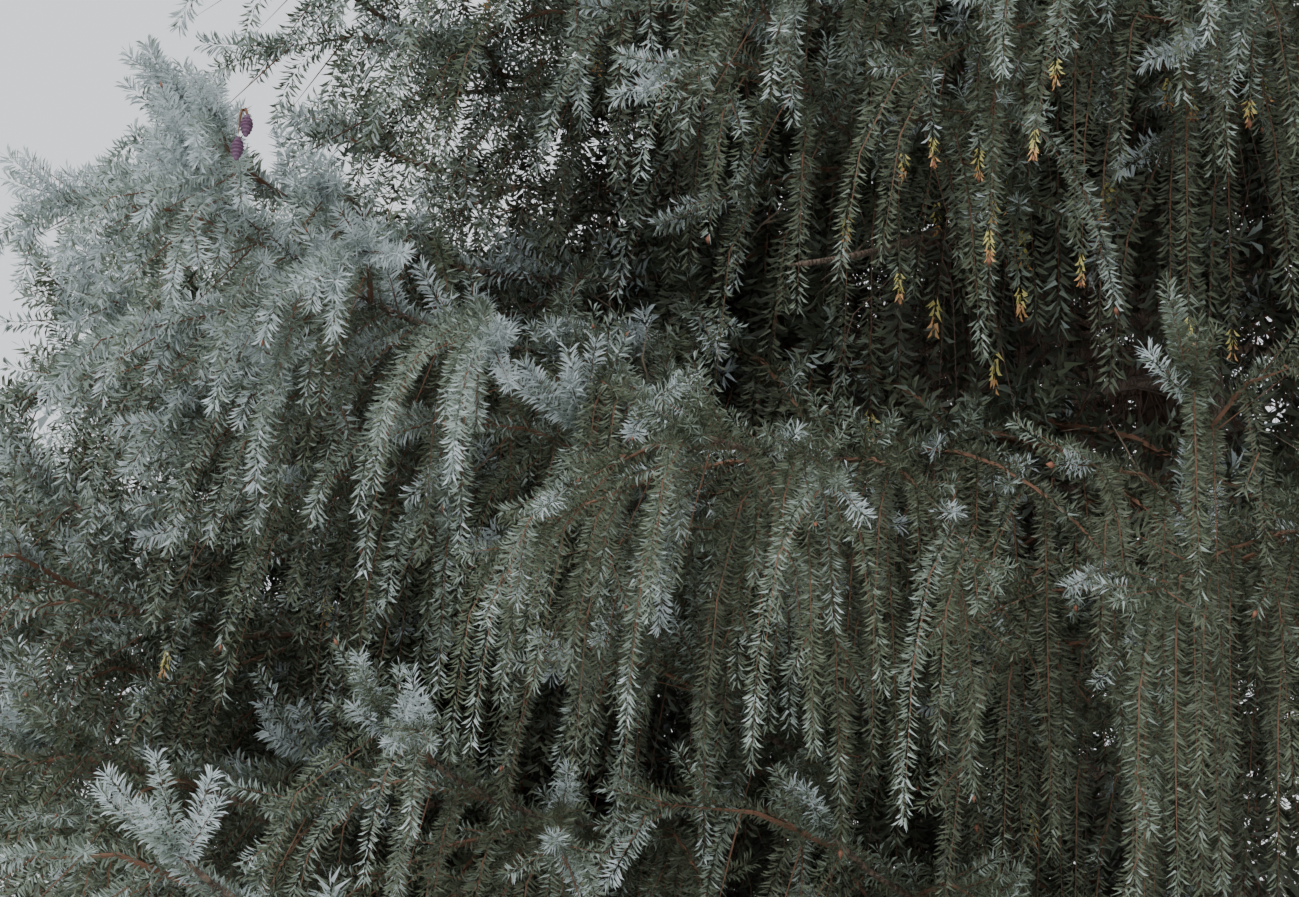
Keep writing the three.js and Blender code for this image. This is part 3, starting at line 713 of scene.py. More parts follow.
def side_twigs(boughs, rng):
    """Side twigs of every bough, left and right in turn. They shorten and close up towards its tip,
    and droop low in the crown."""
    spacing = settings().side_spacing * coarseness(boughs.middles())**SIDE_POWER
    spacing = spacing / boughs.crowding**TWIG_CROWDING_POWER
    which, order, u = stations(boughs.reach * (1 - boughs.bare), spacing, rng)
    share = boughs.bare[which] + (1 - boughs.bare[which]) * u * LAST_TWIG
    root = boughs.point(which, share)
    angle = TWIG_ANGLE - TWIG_NARROWING * u + rng.uniform(-TWIG_ANGLE_SCATTER, TWIG_ANGLE_SCATTER, u.size)
    direction = turned(boughs.tangent(which, share), np.radians(angle) * np.where(order % 2, 1, -1))
    size = boughs.reach[which] * TWIG_SHARE * (1 - TWIG_SHORTENING * u) * rng.uniform(*TWIG_SIZES, u.size)
    size = size + LEAST_TWIG
    droop = from_table(root[:, 2], TWIG_DROOP) + rng.uniform(-DROOP_SCATTER, DROOP_SCATTER, u.size)
    bend = root + direction * size[:, None] * 0.5 + UP * size[:, None] * TWIG_RISE
    tip = root + direction * size[:, None] * TWIG_STRETCH - UP * (droop * size)[:, None]
    tone = np.where(u * boughs.bloom[which] > GREY_TWIG_BLOOM, GREY, OLIVE)
    core = np.full(u.size, TWIG_RADIUS)
    return Shoots(root, bend, tip, which, tone, coarseness(root), TWIG_COVER, core), u


def hanging_shoots(root, tangent, bough, depth, bloom, rng):
    """Shoots that leave a twig outwards and then hang: depth runs from 0 near the trunk to 1 at the
    crown's edge. Low ones hang straight down, and high ones swing out, as do the shorter and paler
    ones at the end of a bough with much bloom. Their tone is painted shade, darker the nearer they hang to
    the trunk."""
    count = len(root)
    height = root[:, 2]
    spread = bloom * np.clip(SPREAD_SLOPE * depth - SPREAD_START, 0, 1)
    hang = from_table(height, HANG) * (1 - SPREAD_LIFT * spread)
    size = settings().hanging_length * (1 - DEPTH_SHORTER * depth**2 - SPREAD_SHORTER * spread)
    size = size * rng.uniform(*HANGING_SIZES, count)
    size *= from_table(height, HANGING_SIZE)
    size *= from_table(coarseness(root), COARSE_HANGING_SIZE)
    scatter = rng.normal(0, HANGING_SCATTER, (count, 3)) * (1, 1, 0)
    out = unit(outward(root) * OUTWARD_SHARE + tangent * (1, 1, 0) * ALONG_SHARE + scatter)
    swing = rng.uniform(*HANGING_SWING, count) + (1 - hang) * HIGH_SWING + SPREAD_SWING * spread
    (middle_out, middle_down), (tip_out, tip_down) = HANGING_MIDDLE, HANGING_TIP
    bend = root + out * (size * swing * middle_out)[:, None] - UP * (size * middle_down * hang)[:, None]
    tip = root + out * (size * swing)[:, None] * tip_out - UP * (size * tip_down * hang)[:, None]
    # Painted shade: lightness grows with depth, so shoots near the trunk take the darker tones
    light = depth + SPREAD_LIGHT * spread + rng.normal(0, LIGHT_SCATTER, count)
    limits = (SHADE_LIGHT, OLIVE_LIGHT, GREEN_LIGHT, GREY_LIGHT)
    tone = np.select([light < limit for limit in limits], [SHADE, OLIVE, GREEN, GREY], BLUE)
    return Shoots(root, bend, tip, bough, tone, coarseness(root), HANGING_COVER)


def outer_shoots(root, tangent, bough, bloom, form, rng):
    """Short shoots that leave a twig sideways and turn up, of a form's lift and length, blue-white where
    the bloom is near 1."""
    count = len(root)
    lift, length = form
    coarse = coarseness(root)
    size = length * rng.uniform(*OUTER_SIZES, count) * coarse**OUTER_SIZE_POWER
    size = size * from_table(root[:, 2], OUTER_SIZE)
    out = unit(tangent + rng.normal(0, OUTER_SCATTER, (count, 3)) * (1, 1, OUTER_FLATNESS))
    rise = lift * rng.uniform(*OUTER_RISE, count)
    bend, tip = (root + out * (size * level)[:, None] + UP * (size * rise * up)[:, None]
                 for level, up in (OUTER_MIDDLE, OUTER_TIP))
    bloom = bloom + ROSETTE_BLOOM * (rng.random(count) < ROSETTE_SHARE)
    tone = OLIVE + TONE_START + TONE_BY_BLOOM * bloom + rng.uniform(-TONE_SCATTER, TONE_SCATTER, count)
    return Shoots(root, bend, tip, bough, np.clip(np.floor(tone), OLIVE, PALE).astype(int), coarse)


def side_shoots(parents, rng):
    """Short shoots that leave some of the hanging ones at about 45 degrees, in turn round them."""
    parents = parents.kept(rng.random(len(parents.root)) < BRANCHING_SHARE)
    which, order, t = stations(parents.length, SIDE_SHOOT_SPACING * parents.coarse, rng, *SIDE_SHOOT_PART)
    tangent = parents.tangent(which, t)
    normal = parents.normal(which)
    turn = order * GOLDEN_TURN + which
    radial = normal * np.cos(turn)[:, None] + np.cross(tangent, normal) * np.sin(turn)[:, None]
    coarse = parents.coarse[which]
    full, loss = SIDE_SHOOT_TAPER
    size = rng.uniform(*SIDE_SHOOT_SIZES, t.size) * coarse**SIDE_SHOOT_POWER * (full - loss * t)
    root = parents.point(which, t)
    out = unit(radial * SIDE_SHOOT_HEADING[0] + tangent * SIDE_SHOOT_HEADING[1])
    bend = root + out * (size * 0.5)[:, None]
    tip = root + out * (size * SIDE_SHOOT_TIP[0])[:, None] + tangent * (size * SIDE_SHOOT_TIP[1])[:, None]
    tone = np.minimum(parents.tone[which] + (rng.random(t.size) < LIGHTER_SIDE_SHARE), BLUE)
    return Shoots(root, bend, tip, parents.bough[which], tone, coarse)


def leader_shoots(bough):
    """Needled lengths of the leader, one above another."""
    foot = np.arange(TRUNK_HEIGHT, LEADER_TOP - LEADER_BARE, LEADER_STEP)
    root = trunk_axis(np.full(foot.size, TRUNK_HEIGHT)) + UP * (foot - TRUNK_HEIGHT)[:, None]
    length = np.minimum(LEADER_STEP, LEADER_TOP - foot)[:, None]
    return Shoots(root, root + UP * length / 2, root + UP * length, bough, GREY, coarseness(root))


def sleeves(boughs):
    """Needled lengths of the boughs' outer ends: short steps along their lines."""
    start = from_table(boughs.height, SLEEVE_SHARES)
    steps = np.maximum(np.round(boughs.reach * (1 - start) / SLEEVE_STEP), 1).astype(int)
    steps *= boughs.crowding > BARE_CROWDING
    which, order = shared_out(steps)
    share = start[which] + (1 - start[which]) * order / steps[which]
    half = (1 - start[which]) / steps[which] / 2
    root, middle, tip = (boughs.point(which, share + step * half) for step in range(3))
    tone = np.where(boughs.bloom[which] * share > GREY_SLEEVE_BLOOM, GREY, GREEN)
    core = SLEEVE_CORE * boughs.radius(which, share)
    return Shoots(root, middle, tip, which, tone, coarseness(root), core=core)


def on_boughs(boughs, spacing, rng):
    """Stations on the bough lines beyond their bare parts: which bough, how far out, point, tangent."""
    span = boughs.reach * (1 - boughs.bare)
    steps = spacing * coarseness(boughs.middles())**SPACING_POWER / boughs.crowding
    which, _, u = stations(span, steps, rng)
    share = boughs.bare[which] + (1 - boughs.bare[which]) * u
    return which, u, boughs.point(which, share), boughs.tangent(which, share)


def in_reach(shoots):
    """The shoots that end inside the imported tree's box and a little round it, clear of the ground."""
    low, high = np.array(CAD_BOX[0]) - REACH_MARGIN, np.array(CAD_BOX[1]) + REACH_MARGIN
    inside = np.all((shoots.tip > low) & (shoots.tip < high), axis=1)
    return shoots.kept(inside & (shoots.tip[:, 2] > LOWEST_TIP))


def finer_in_gaps(shoots):
    """The shoots, with needles and cores no coarser than a limit where the gaps show them."""
    sight = shoots.tip - SEEN_FROM
    right, up = sight[:, 0] / sight[:, 1], sight[:, 2] / sight[:, 1]
    seen = np.zeros(len(right), dtype=bool)
    for left_edge, right_edge, bottom, top in SKY_GAPS:
        seen |= (right > left_edge) & (right < right_edge) & (up > bottom) & (up < top)
    coarse = np.where(seen, np.minimum(shoots.coarse, SEEN_COARSENESS), shoots.coarse)
    return Shoots(shoots.root, shoots.bend, shoots.tip, shoots.bough, shoots.tone, coarse, shoots.cover,
                  shoots.core * coarse / shoots.coarse)


@functools.lru_cache(maxsize=1)
def grown():
    """The whole crown: bough lines, side twigs, and every needled shoot."""
    rng = np.random.default_rng(SEED + 1)
    boughs = Boughs([*main_bough_rows(), *lesser_bough_rows()])
    twigs, twig_depth = side_twigs(boughs, rng)
    spacing = settings().hanging_spacing

    crowding = boughs.crowding[twigs.bough]
    steps = spacing * twigs.coarse**SPACING_POWER / crowding
    which, _, t = stations(twigs.length, steps, rng, HANGING_START)
    depth = np.clip(TWIG_DEPTH * twig_depth[which] + OWN_DEPTH * t, 0, 1)
    bough = twigs.bough[which]
    from_twigs = hanging_shoots(twigs.point(which, t), twigs.tangent(which, t), bough, depth,
                                boughs.bloom[bough], rng)
    which, u, root, tangent = on_boughs(boughs, spacing, rng)
    from_boughs = hanging_shoots(root, tangent, which, BOUGH_DEPTH * u, boughs.bloom[which], rng)

    steps = TWIG_OUTER_SPACING * twigs.coarse**OUTER_POWER / crowding
    which, _, t = stations(twigs.length, steps, rng, OUTER_START)
    bough = twigs.bough[which]
    bloom = boughs.bloom[bough] * twig_depth[which] * (TWIG_BLOOM[0] + TWIG_BLOOM[1] * t)
    on_twigs = outer_shoots(twigs.point(which, t), twigs.tangent(which, t), bough, bloom, ON_TWIG, rng)

    ends = np.repeat(np.arange(len(twigs.root)), TWIG_END_COUNT)
    bough = twigs.bough[ends]
    bloom = boughs.bloom[bough] * (TWIG_END_BLOOM[0] + TWIG_END_BLOOM[1] * twig_depth[ends])
    root, tangent = twigs.point(ends, np.full(ends.size, TWIG_END)), twigs.tangent(ends, np.ones(ends.size))
    at_ends = outer_shoots(root, tangent, bough, bloom, AT_TWIG_END, rng)

    which, u, root, tangent = on_boughs(boughs, BOUGH_OUTER_SPACING, rng)
    on_tops = outer_shoots(root, tangent, which, boughs.bloom[which] * u, ON_BOUGH, rng)

    tips = np.repeat(np.arange(len(boughs.height)), np.round(BOUGH_END_COUNT * boughs.crowding).astype(int))
    share = np.full(tips.size, BOUGH_END)
    root, tangent = boughs.point(tips, share), boughs.tangent(tips, share)
    at_tips = outer_shoots(root, tangent, tips, boughs.bloom[tips], AT_BOUGH_TIP, rng)

    hanging = joined([from_twigs, from_boughs])
    branching = side_shoots(hanging, rng)
    leader = leader_shoots(np.argmax(boughs.height))
    shoots = joined([twigs, sleeves(boughs), hanging, branching, on_twigs, at_ends, on_tops, at_tips,
                     leader])
    return boughs, in_reach(twigs), finer_in_gaps(in_reach(shoots))


# Meshes from arrays

def mesh_piece(name, vertices, faces, materials, slot, face_material=None, smooth=False):
    """A piece from arrays of vertices and of faces with one count of corners, each with the number of
    its material."""
    mesh = bpy.data.meshes.new(name)
    corners = faces.shape[1]
    mesh.vertices.add(len(vertices))
    mesh.vertices.foreach_set("co", np.ascontiguousarray(vertices, dtype=np.float32).ravel())
    mesh.loops.add(faces.size)
    mesh.loops.foreach_set("vertex_index", np.ascontiguousarray(faces, dtype=np.int32).ravel())
    mesh.polygons.add(len(faces))
    mesh.polygons.foreach_set("loop_start", np.arange(0, faces.size, corners, dtype=np.int32))
    mesh.polygons.foreach_set("use_smooth", np.full(len(faces), smooth))
    for material in materials:
        mesh.materials.append(material)
    if face_material is not None:
        mesh.polygons.foreach_set("material_index", face_material.astype(np.int32))
    mesh.update(calc_edges=True)
    piece = bpy.data.objects.new(name, mesh)
    bpy.context.collection.objects.link(piece)
    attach(piece, "root")
    return piece


def cells(rings, sides):
    """The first two corners' numbers of each cell of a grid that closes round its rings."""
    ring, place = np.meshgrid(np.arange(rings - 1), np.arange(sides), indexing="ij")
    return (ring * sides + place).ravel(), (ring * sides + (place + 1) % sides).ravel()


def walls(rings, sides):
    """Two triangles for each cell of such a grid."""
    a, b = cells(rings, sides)
    return np.concatenate((np.stack((a, b, b + sides), 1), np.stack((a, b + sides, a + sides), 1)))


def fan(start, sides, point, turned_over=False):
    """Triangles from each side of a ring, whose first corner's number is given, to one point."""
    place = np.arange(sides)
    a, b = start + place, start + (place + 1) % sides
    return np.stack((*((b, a) if turned_over else (a, b)), np.full(sides, point)), 1)


def tubes(points, radii, normals, sides):
    """Tubes of one count of rings, each ending in a point: ring k of a tube lies square to its line,
    at its radius. Points are (tubes, rings, 3), radii (tubes, rings), normals (tubes, 3).
    Gives vertices and triangles."""
    count, rings = radii.shape
    along = unit(np.gradient(points, axis=1))
    side = unit(normals[:, None, :] - along * np.sum(normals[:, None, :] * along, axis=2, keepdims=True))
    across = np.cross(along, side)
    angle = np.arange(sides) * 2 * math.pi / sides
    circle = side[:, :, None, :] * np.cos(angle)[:, None] + across[:, :, None, :] * np.sin(angle)[:, None]
    body = points[:, :, None, :] + circle * radii[:, :, None, None]
    body = body[:, :-1].reshape(count, -1, 3)
    vertices = np.concatenate((body, points[:, -1:, :]), axis=1)
    cap = fan((rings - 2) * sides, sides, (rings - 1) * sides)
    faces = np.concatenate((walls(rings - 1, sides), cap))
    return vertices.reshape(-1, 3), for_each(faces, count, vertices.shape[1])


def for_each(faces, count, corners):
    """The faces of one body for several like it, each with as many corners."""
    return (faces[None] + np.arange(count)[:, None, None] * corners).reshape(-1, 3)


def merged(parts):
    """Several (vertices, faces) pairs as one."""
    vertices, faces, start = [], [], 0
    for part_vertices, part_faces in parts:
        vertices.append(part_vertices)
        faces.append(part_faces + start)
        start += len(part_vertices)
    return np.concatenate(vertices), np.concatenate(faces)


def shoot_tubes(shoots, foot_radius, tip_radius, sides, steps_per_metre):
    """The woody cores of shoots, in groups by how many rings their length needs."""
    steps = np.round(shoots.length / shoots.coarse * steps_per_metre)
    steps = np.clip(steps, 1, MOST_STEPS).astype(int)
    parts = []
    for rings in np.unique(steps) + 1:
        which = np.flatnonzero(steps + 1 == rings)
        t = np.broadcast_to(np.linspace(0, 1, rings), (which.size, rings))
        points = shoots.point(which[:, None], t)
        scale = shoots.coarse[which, None] ** TUBE_POWER
        radii = (foot_radius + (tip_radius - foot_radius) * t) * scale
        parts.append(tubes(points, radii, shoots.normal(which), sides))
    return merged(parts)


def needle_places(shoots, rng):
    """How many needles each shoot has, by its length, its coarseness and its core's thickness. Gives
    each needle's shoot, its number there and its place along it."""
    lengths = shoots.length * (shoots.cover[:, 1] - shoots.cover[:, 0])
    crowding = np.clip(shoots.core / CROWDED_CORE, 1, CROWDED_LIMIT)
    crowding *= np.where((shoots.tone >= BLUE) & (shoots.coarse < VIGOROUS_COARSENESS), VIGOROUS_NUMBER, 1)
    count = np.round(lengths * settings().needles_per_metre * crowding / shoots.coarse**NUMBER_POWER)
    count = np.maximum(count, FEWEST_NEEDLES).astype(int)
    owner, order = shared_out(count)
    return owner, order, (order + rng.random(owner.size)) / count[owner]


def needle_triangles(shoots, owner, order, part, young, rng):
    """Needles round each shoot by the golden angle, each a triangle that is widest at its shoulder, as
    a flat blunt needle is, or at its foot. Its foot is on the core. At the shoot's end needles lean
    forward and are shorter, and young ones more so. Gives the triangles' corners."""
    chosen = settings()
    cover = shoots.cover[owner]
    t = cover[:, 0] + (cover[:, 1] - cover[:, 0]) * part
    tangent = shoots.tangent(owner, t)
    normal = shoots.normal(owner)
    side = unit(normal - tangent * np.sum(normal * tangent, axis=1, keepdims=True))
    across = np.cross(tangent, side)
    turn = order * GOLDEN_TURN + owner * SHOOT_TURN
    turn = turn + rng.uniform(-NEEDLE_TURN_SCATTER, NEEDLE_TURN_SCATTER, owner.size)
    radial = side * np.cos(turn)[:, None] + across * np.sin(turn)[:, None]
    lean = (NEEDLE_LEAN - END_LEAN * part**END_LEAN_POWER) * np.where(young, YOUNG_LEAN, 1)
    lean = np.radians(lean + rng.normal(0, LEAN_SCATTER, owner.size))
    direction = tangent * np.cos(lean)[:, None] + radial * np.sin(lean)[:, None]
    coarse = shoots.coarse[owner]
    size = chosen.needle_length * coarse**LENGTH_POWER * (1 - END_SHORTER * part**END_SHORTER_POWER)
    size *= rng.uniform(*NEEDLE_SIZES, owner.size)
    size *= np.where(young, YOUNG_SHORTER, 1) * np.where(shoots.tone[owner] >= BLUE, VIGOUR, 1)
    broad = np.cross(direction, radial)
    roll = rng.normal(math.pi / 2, NEEDLE_ROLL_SCATTER, owner.size)
    broad = unit(broad * np.cos(roll)[:, None] + np.cross(direction, broad) * np.sin(roll)[:, None])
    foot = shoots.point(owner, t) + radial * shoots.core[owner, None]
    half = broad * (0.5 * chosen.needle_width * coarse**WIDTH_POWER)[:, None]
    at_foot = rng.random(owner.size) < BROAD_FOOT_SHARE
    shoulder = foot + direction * np.where(at_foot, 0, SHOULDER * size)[:, None] + half
    tip = foot + direction * size[:, None] - half * ~at_foot[:, None]
    return np.stack((foot - half * at_foot[:, None], shoulder, tip), axis=1)


# Materials

class Value:
    """A socket whose arithmetic adds Math nodes."""

    def __init__(self, graph, socket):
        self.graph, self.socket = graph, socket

    def _math(self, operation, first, second):
        return self.graph.node("ShaderNodeMath", {"operation": operation}, {0: first, 1: second})["Value"]

    def __add__(self, other):
        return self._math("ADD", self, other)

    def __radd__(self, other):
        return self._math("ADD", other, self)

    def __mul__(self, other):
        return self._math("MULTIPLY", self, other)

    def __rmul__(self, other):
        return self._math("MULTIPLY", other, self)


class Made:
    """A node just made, whose outputs are read by name as values."""

    def __init__(self, graph, made):
        self.graph, self.made = graph, made

    def __getitem__(self, name):
        return Value(self.graph, self.made.outputs[name])


class Graph:
    """The node tree of one material."""

    def __init__(self, name):
        self.material = bpy.data.materials.new(name)
        self.material.use_nodes = True
        self.tree = self.material.node_tree
        self.shader = next(n for n in self.tree.nodes if n.type == "BSDF_PRINCIPLED")

    def node(self, kind, choices=None, sockets=None):
        """A node of a kind: its choices are set first, and then its sockets' values or links."""
        made = self.tree.nodes.new(kind)
        for name, choice in (choices or {}).items():
            if name == "stops":
                self._set_stops(made.color_ramp, choice)
            else:
                setattr(made, name, choice)
        for name, value in (sockets or {}).items():
            self.feed(made.inputs[name], value)
        return Made(self, made)

    def _set_stops(self, ramp, stops):
        while len(ramp.elements) < len(stops):
            ramp.elements.new(0.5)
        for element, (place, colour) in zip(ramp.elements, stops):
            element.position = place
            element.color = (*colour, 1.0)

    def feed(self, socket, value):
        """Puts a value or a link into a socket."""
        if isinstance(value, Value):
            self.tree.links.new(value.socket, socket)
        elif socket.type == "RGBA" and len(value) == 3:
            socket.default_value = (*value, 1.0)
        else:
            socket.default_value = value

    def finish(self, **sockets):
        """Feeds the shader's sockets, with spaces in their names written as underscores."""
        for name, value in sockets.items():
            self.feed(self.shader.inputs[name.replace("_", " ")], value)
        return self.material

    def place(self):
        """Object coordinates."""
        return self.node("ShaderNodeTexCoord")["Object"]

    def noise(self, scale, detail=3.0, roughness=0.55):
        """Fractal noise on object coordinates, from 0 to 1."""
        sockets = {"Vector": self.place(), "Scale": scale, "Detail": detail, "Roughness": roughness}
        return self.node("ShaderNodeTexNoise", {}, sockets)["Fac"]

    def relief(self, strength, distance, height):
        """The normal of a bump by a height."""
        sockets = {"Strength": strength, "Distance": distance, "Height": height}
        return self.node("ShaderNodeBump", {}, sockets)["Normal"]

    def blend(self, first, second, factor):
        """A mix of two colours."""
        return self.node("ShaderNodeMixRGB", {}, {"Fac": factor, "Color1": first, "Color2": second})["Color"]


def shade_of(colour, factor):
    """A colour made lighter or darker."""
    return tuple(min(channel * factor, 1.0) for channel in colour)


# Finish of a material: darkest and lightest shade, scale and detail of its patches, roughness and the share
# of the grain in it, scale and detail of the grain, its strength in relief, and the level of its highlights
Finish = namedtuple("Finish", "dark light patches detail rough rougher grain grain_detail relief highlights")
NEEDLE = Finish(0.72, 1.28, 14.0, 2.0, 0.42, 0.2, 60.0, 1.0, 0.0, 0.4)
YOUNG_BARK = Finish(0.6, 1.5, 35.0, 3.0, 0.7, 0.2, 220.0, 4.0, 0.4, 0.5)
DEAD_BARK = Finish(0.55, 1.35, 16.0, 4.0, 0.8, 0.15, 180.0, 4.0, 0.5, 0.5)
YOUNG_CONE = Finish(0.7, 2.2, 120.0, 2.0, 0.45, 0.2, 200.0, 2.0, 0.0, 0.5)
TWIG_RELIEF_DISTANCE = 0.002


def part_material(name, part, finish):
    """A material in the colour of a part: lighter and darker patches, and a grain in its roughness and,
    where the finish has relief, in its surface."""
    graph = Graph(name)
    colour = tuple(getattr(settings(), part))
    patches = graph.noise(finish.patches, finish.detail)
    grain = graph.noise(finish.grain, finish.grain_detail)
    sockets = {
        "Base_Color": graph.blend(shade_of(colour, finish.dark), shade_of(colour, finish.light), patches),
        "Roughness": finish.rough + finish.rougher * grain,
        "Specular_IOR_Level": finish.highlights,
    }
    if finish.relief:
        sockets["Normal"] = graph.relief(finish.relief, TWIG_RELIEF_DISTANCE, grain)
    return graph.finish(**sockets)


# Bark of trunk and boughs: scale of its plates and their stretch up the trunk, the joints between them,
# shades of joints and of dark and light bark, colour and share of rusty scales, roughness and what the
# patches add to it, and strength and distance of its relief
BARK_PLATES, BARK_STRETCH = 85.0, (1.0, 1.0, 0.55)
BARK_JOINTS = ((0.0, (0.25, 0.25, 0.25)), (0.2, (1, 1, 1)))
JOINT_SHADE, DARK_SHADE, LIGHT_SHADE = 0.3, 0.75, 1.75
RUSTY_COLOUR, RUSTY_SHARE = (0.21, 0.12, 0.07), 0.4
BARK_ROUGHNESS, BARK_ROUGHER = 0.78, 0.18
BARK_BUMP = (0.7, 0.006)


def bark_material():
    """Scaly spruce bark: dark joints between small plates, grey bloom and rusty young scales."""
    graph = Graph("spruce_bark")
    colour = tuple(settings().bark)
    patches = graph.noise(scale=18.0, detail=4.0)
    stretch = {"Vector": graph.place(), "Scale": BARK_STRETCH}
    stretched = graph.node("ShaderNodeMapping", {}, stretch)["Vector"]
    plates = graph.node("ShaderNodeTexVoronoi", {"feature": "DISTANCE_TO_EDGE"},
                        {"Vector": stretched, "Scale": BARK_PLATES, "Randomness": 1.0})["Distance"]
    joints = graph.node("ShaderNodeValToRGB", {"stops": BARK_JOINTS}, {"Fac": plates})["Color"]
    body = graph.blend(shade_of(colour, DARK_SHADE), shade_of(colour, LIGHT_SHADE), patches)
    rusty = graph.blend(body, RUSTY_COLOUR, RUSTY_SHARE * graph.noise(scale=5.0, detail=2.0))
    return graph.finish(
        Base_Color=graph.blend(shade_of(colour, JOINT_SHADE), rusty, joints),
        Roughness=BARK_ROUGHNESS + BARK_ROUGHER * patches,
        Normal=graph.relief(*BARK_BUMP, joints),
    )


# Pieces

def wavy_table(rng, rows, columns):
    """A table of random numbers that wraps round its columns, for smooth relief."""
    table = rng.random((rows + 1, columns))
    return np.concatenate((table, table[:, :1]), axis=1)


def sampled(table, v, u):
    """Smooth interpolation of a table at shares v of its rows and u of its columns: cells are
    blended by 3f^2 - 2f^3."""
    rows, columns = table.shape[0] - 1, table.shape[1] - 1
    y, x = np.clip(v, 0, 0.99999) * rows, (u % 1.0) * columns
    r, c = y.astype(int), np.minimum(x.astype(int), columns - 1)
    fy, fx = y - r, x - c
    fy, fx = fy * fy * (3 - 2 * fy), fx * fx * (3 - 2 * fx)
    top = table[r, c] * (1 - fx) + table[r, c + 1] * fx
    bottom = table[r + 1, c] * (1 - fx) + table[r + 1, c + 1] * fx
    return top * (1 - fy) + bottom * fy


def make_trunk():
    """The trunk on a grid of height and angle: the taper and flare, with relief of long ridges and
    small plates up to 4 mm high that fades with the radius, closed by a flat cut and a point."""
    rng = np.random.default_rng(SEED + 2)
    around, up = TRUNK_AROUND, TRUNK_UP
    v, u = np.meshgrid(np.linspace(0, 1, up) ** TRUNK_CROWDING, np.arange(around) / around, indexing="ij")
    height = v * TRUNK_HEIGHT
    angle = 2 * math.pi * u
    radius = trunk_radius(height, angle + math.pi / 2)
    ridges = sampled(wavy_table(rng, *RIDGE_CELLS), v, u + RIDGE_TWIST * v)
    plates = sampled(wavy_table(rng, *PLATE_CELLS), v, u)
    flakes = sampled(wavy_table(rng, *FLAKE_CELLS), v, u)
    relief = RIDGE_SHARE * ridges + PLATE_SHARE * np.abs(2 * plates - 1) + FLAKE_SHARE * flakes
    radius = radius * (1 + BARK_RELIEF * (relief - RELIEF_MIDDLE))
    centre = trunk_axis(height)
    circle = np.stack((radius * np.cos(angle), radius * np.sin(angle), np.zeros_like(radius)), axis=-1)
    ends = centre[:1, 0], centre[-1:, 0] + UP * TRUNK_POINT
    vertices = np.concatenate(((centre + circle).reshape(-1, 3), *ends))
    bottom = fan(0, around, len(vertices) - 2, turned_over=True)
    top = fan((up - 1) * around, around, len(vertices) - 1)
    faces = np.concatenate((walls(up, around), bottom, top))
    piece = mesh_piece("barked_trunk", vertices, faces, [bark_material()], "bark", smooth=True)
    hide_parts("trunk")


def make_boughs():
    """Boughs as tubes along their lines, knotted by a slow wave of the radius, and the leader."""
    boughs, _, _ = grown()
    rng = np.random.default_rng(SEED + 3)
    parts = []
    long = boughs.reach > LONG_BOUGH
    for group, rings, sides in ((long, LONG_RINGS, LONG_SIDES), (~long, SHORT_RINGS, SHORT_SIDES)):
        which = np.flatnonzero(group)
        share = np.broadcast_to(np.linspace(0, 1, rings), (which.size, rings))
        points = boughs.point(which[:, None], share)
        knots = 1 + KNOT_HEIGHT * rng.random(share.shape) * (share < KNOTTED_SHARE)
        radii = boughs.radius(which[:, None], share) * knots
        turn = boughs.turn[which]
        normals = np.stack((-np.sin(turn), np.cos(turn), np.zeros(which.size)), axis=1)
        parts.append(tubes(points, radii, normals, sides))
    leader = np.linspace(0, 1, LEADER_RINGS)[None]
    climb = UP * ((LEADER_TOP - TRUNK_HEIGHT) * leader)[..., None]
    points = trunk_axis(np.array([TRUNK_HEIGHT]))[:, None] + climb
    parts.append(tubes(points, LEADER_RADIUS - LEADER_TAPER * leader, np.array([(1.0, 0, 0)]), LEADER_SIDES))
    piece = mesh_piece("barked_boughs", *merged(parts), [bark_material()], "bark", smooth=True)
    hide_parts(*(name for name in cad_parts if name.startswith("bough_")))


def make_dead_twigs():
    """Bare dead twigs on the inner half of each low bough: lines that wander from an outward and
    falling course by a random walk, with short snags."""
    boughs, _, _ = grown()
    rng = np.random.default_rng(SEED + 4)
    low = np.flatnonzero((boughs.height < DEAD_TOP) & (boughs.reach > DEAD_REACH))
    which, _, share = stations(boughs.reach[low], DEAD_SPACING, rng, *DEAD_PART)
    which = low[which]
    root = boughs.point(which, share)
    count = which.size
    turn = rng.uniform(*DEAD_TURN, count) * rng.choice([-1, 1], count)
    heading = turned(boughs.tangent(which, share), turn)
    full, loss = DEAD_SHORTENING
    size = rng.uniform(*DEAD_SIZES, count) * (full - loss * share)
    t = np.linspace(0, 1, DEAD_RINGS)
    walk = np.cumsum(rng.normal(0, DEAD_WANDER, (count, DEAD_RINGS, 3)) * (t[:, None] > 0), axis=1)
    fall = rng.uniform(*DEAD_FALL, count)[:, None, None] * UP * (t**2)[:, None]
    points = root[:, None] + size[:, None, None] * (heading[:, None] * t[:, None] - fall + walk)
    radii = np.broadcast_to(DEAD_RADIUS - DEAD_TAPER * t, (count, DEAD_RINGS))
    radii = radii * rng.uniform(*DEAD_THICKNESSES, count)[:, None]
    normals = unit(square_to(heading, tilt=0.05))
    parts = [tubes(points, radii, normals, 3)]
    for knot in SNAG_RINGS:
        snag = unit(rng.normal(0, 1, (count, 3)) + heading)
        reach = rng.uniform(*SNAG_SIZES, count)[:, None, None]
        spots = points[:, knot][:, None] + reach * snag[:, None] * np.array(SNAG_POINTS)[:, None]
        spots[:, 1] += rng.normal(0, SNAG_SCATTER, (count, 3))
        parts.append(tubes(spots, np.broadcast_to(SNAG_RADII, (count, 3)), normals, 3))
    materials = [part_material("dead_twig_bark", "dead_twig", DEAD_BARK)]
    mesh_piece("dead_twigs", *merged(parts), materials, "bark")


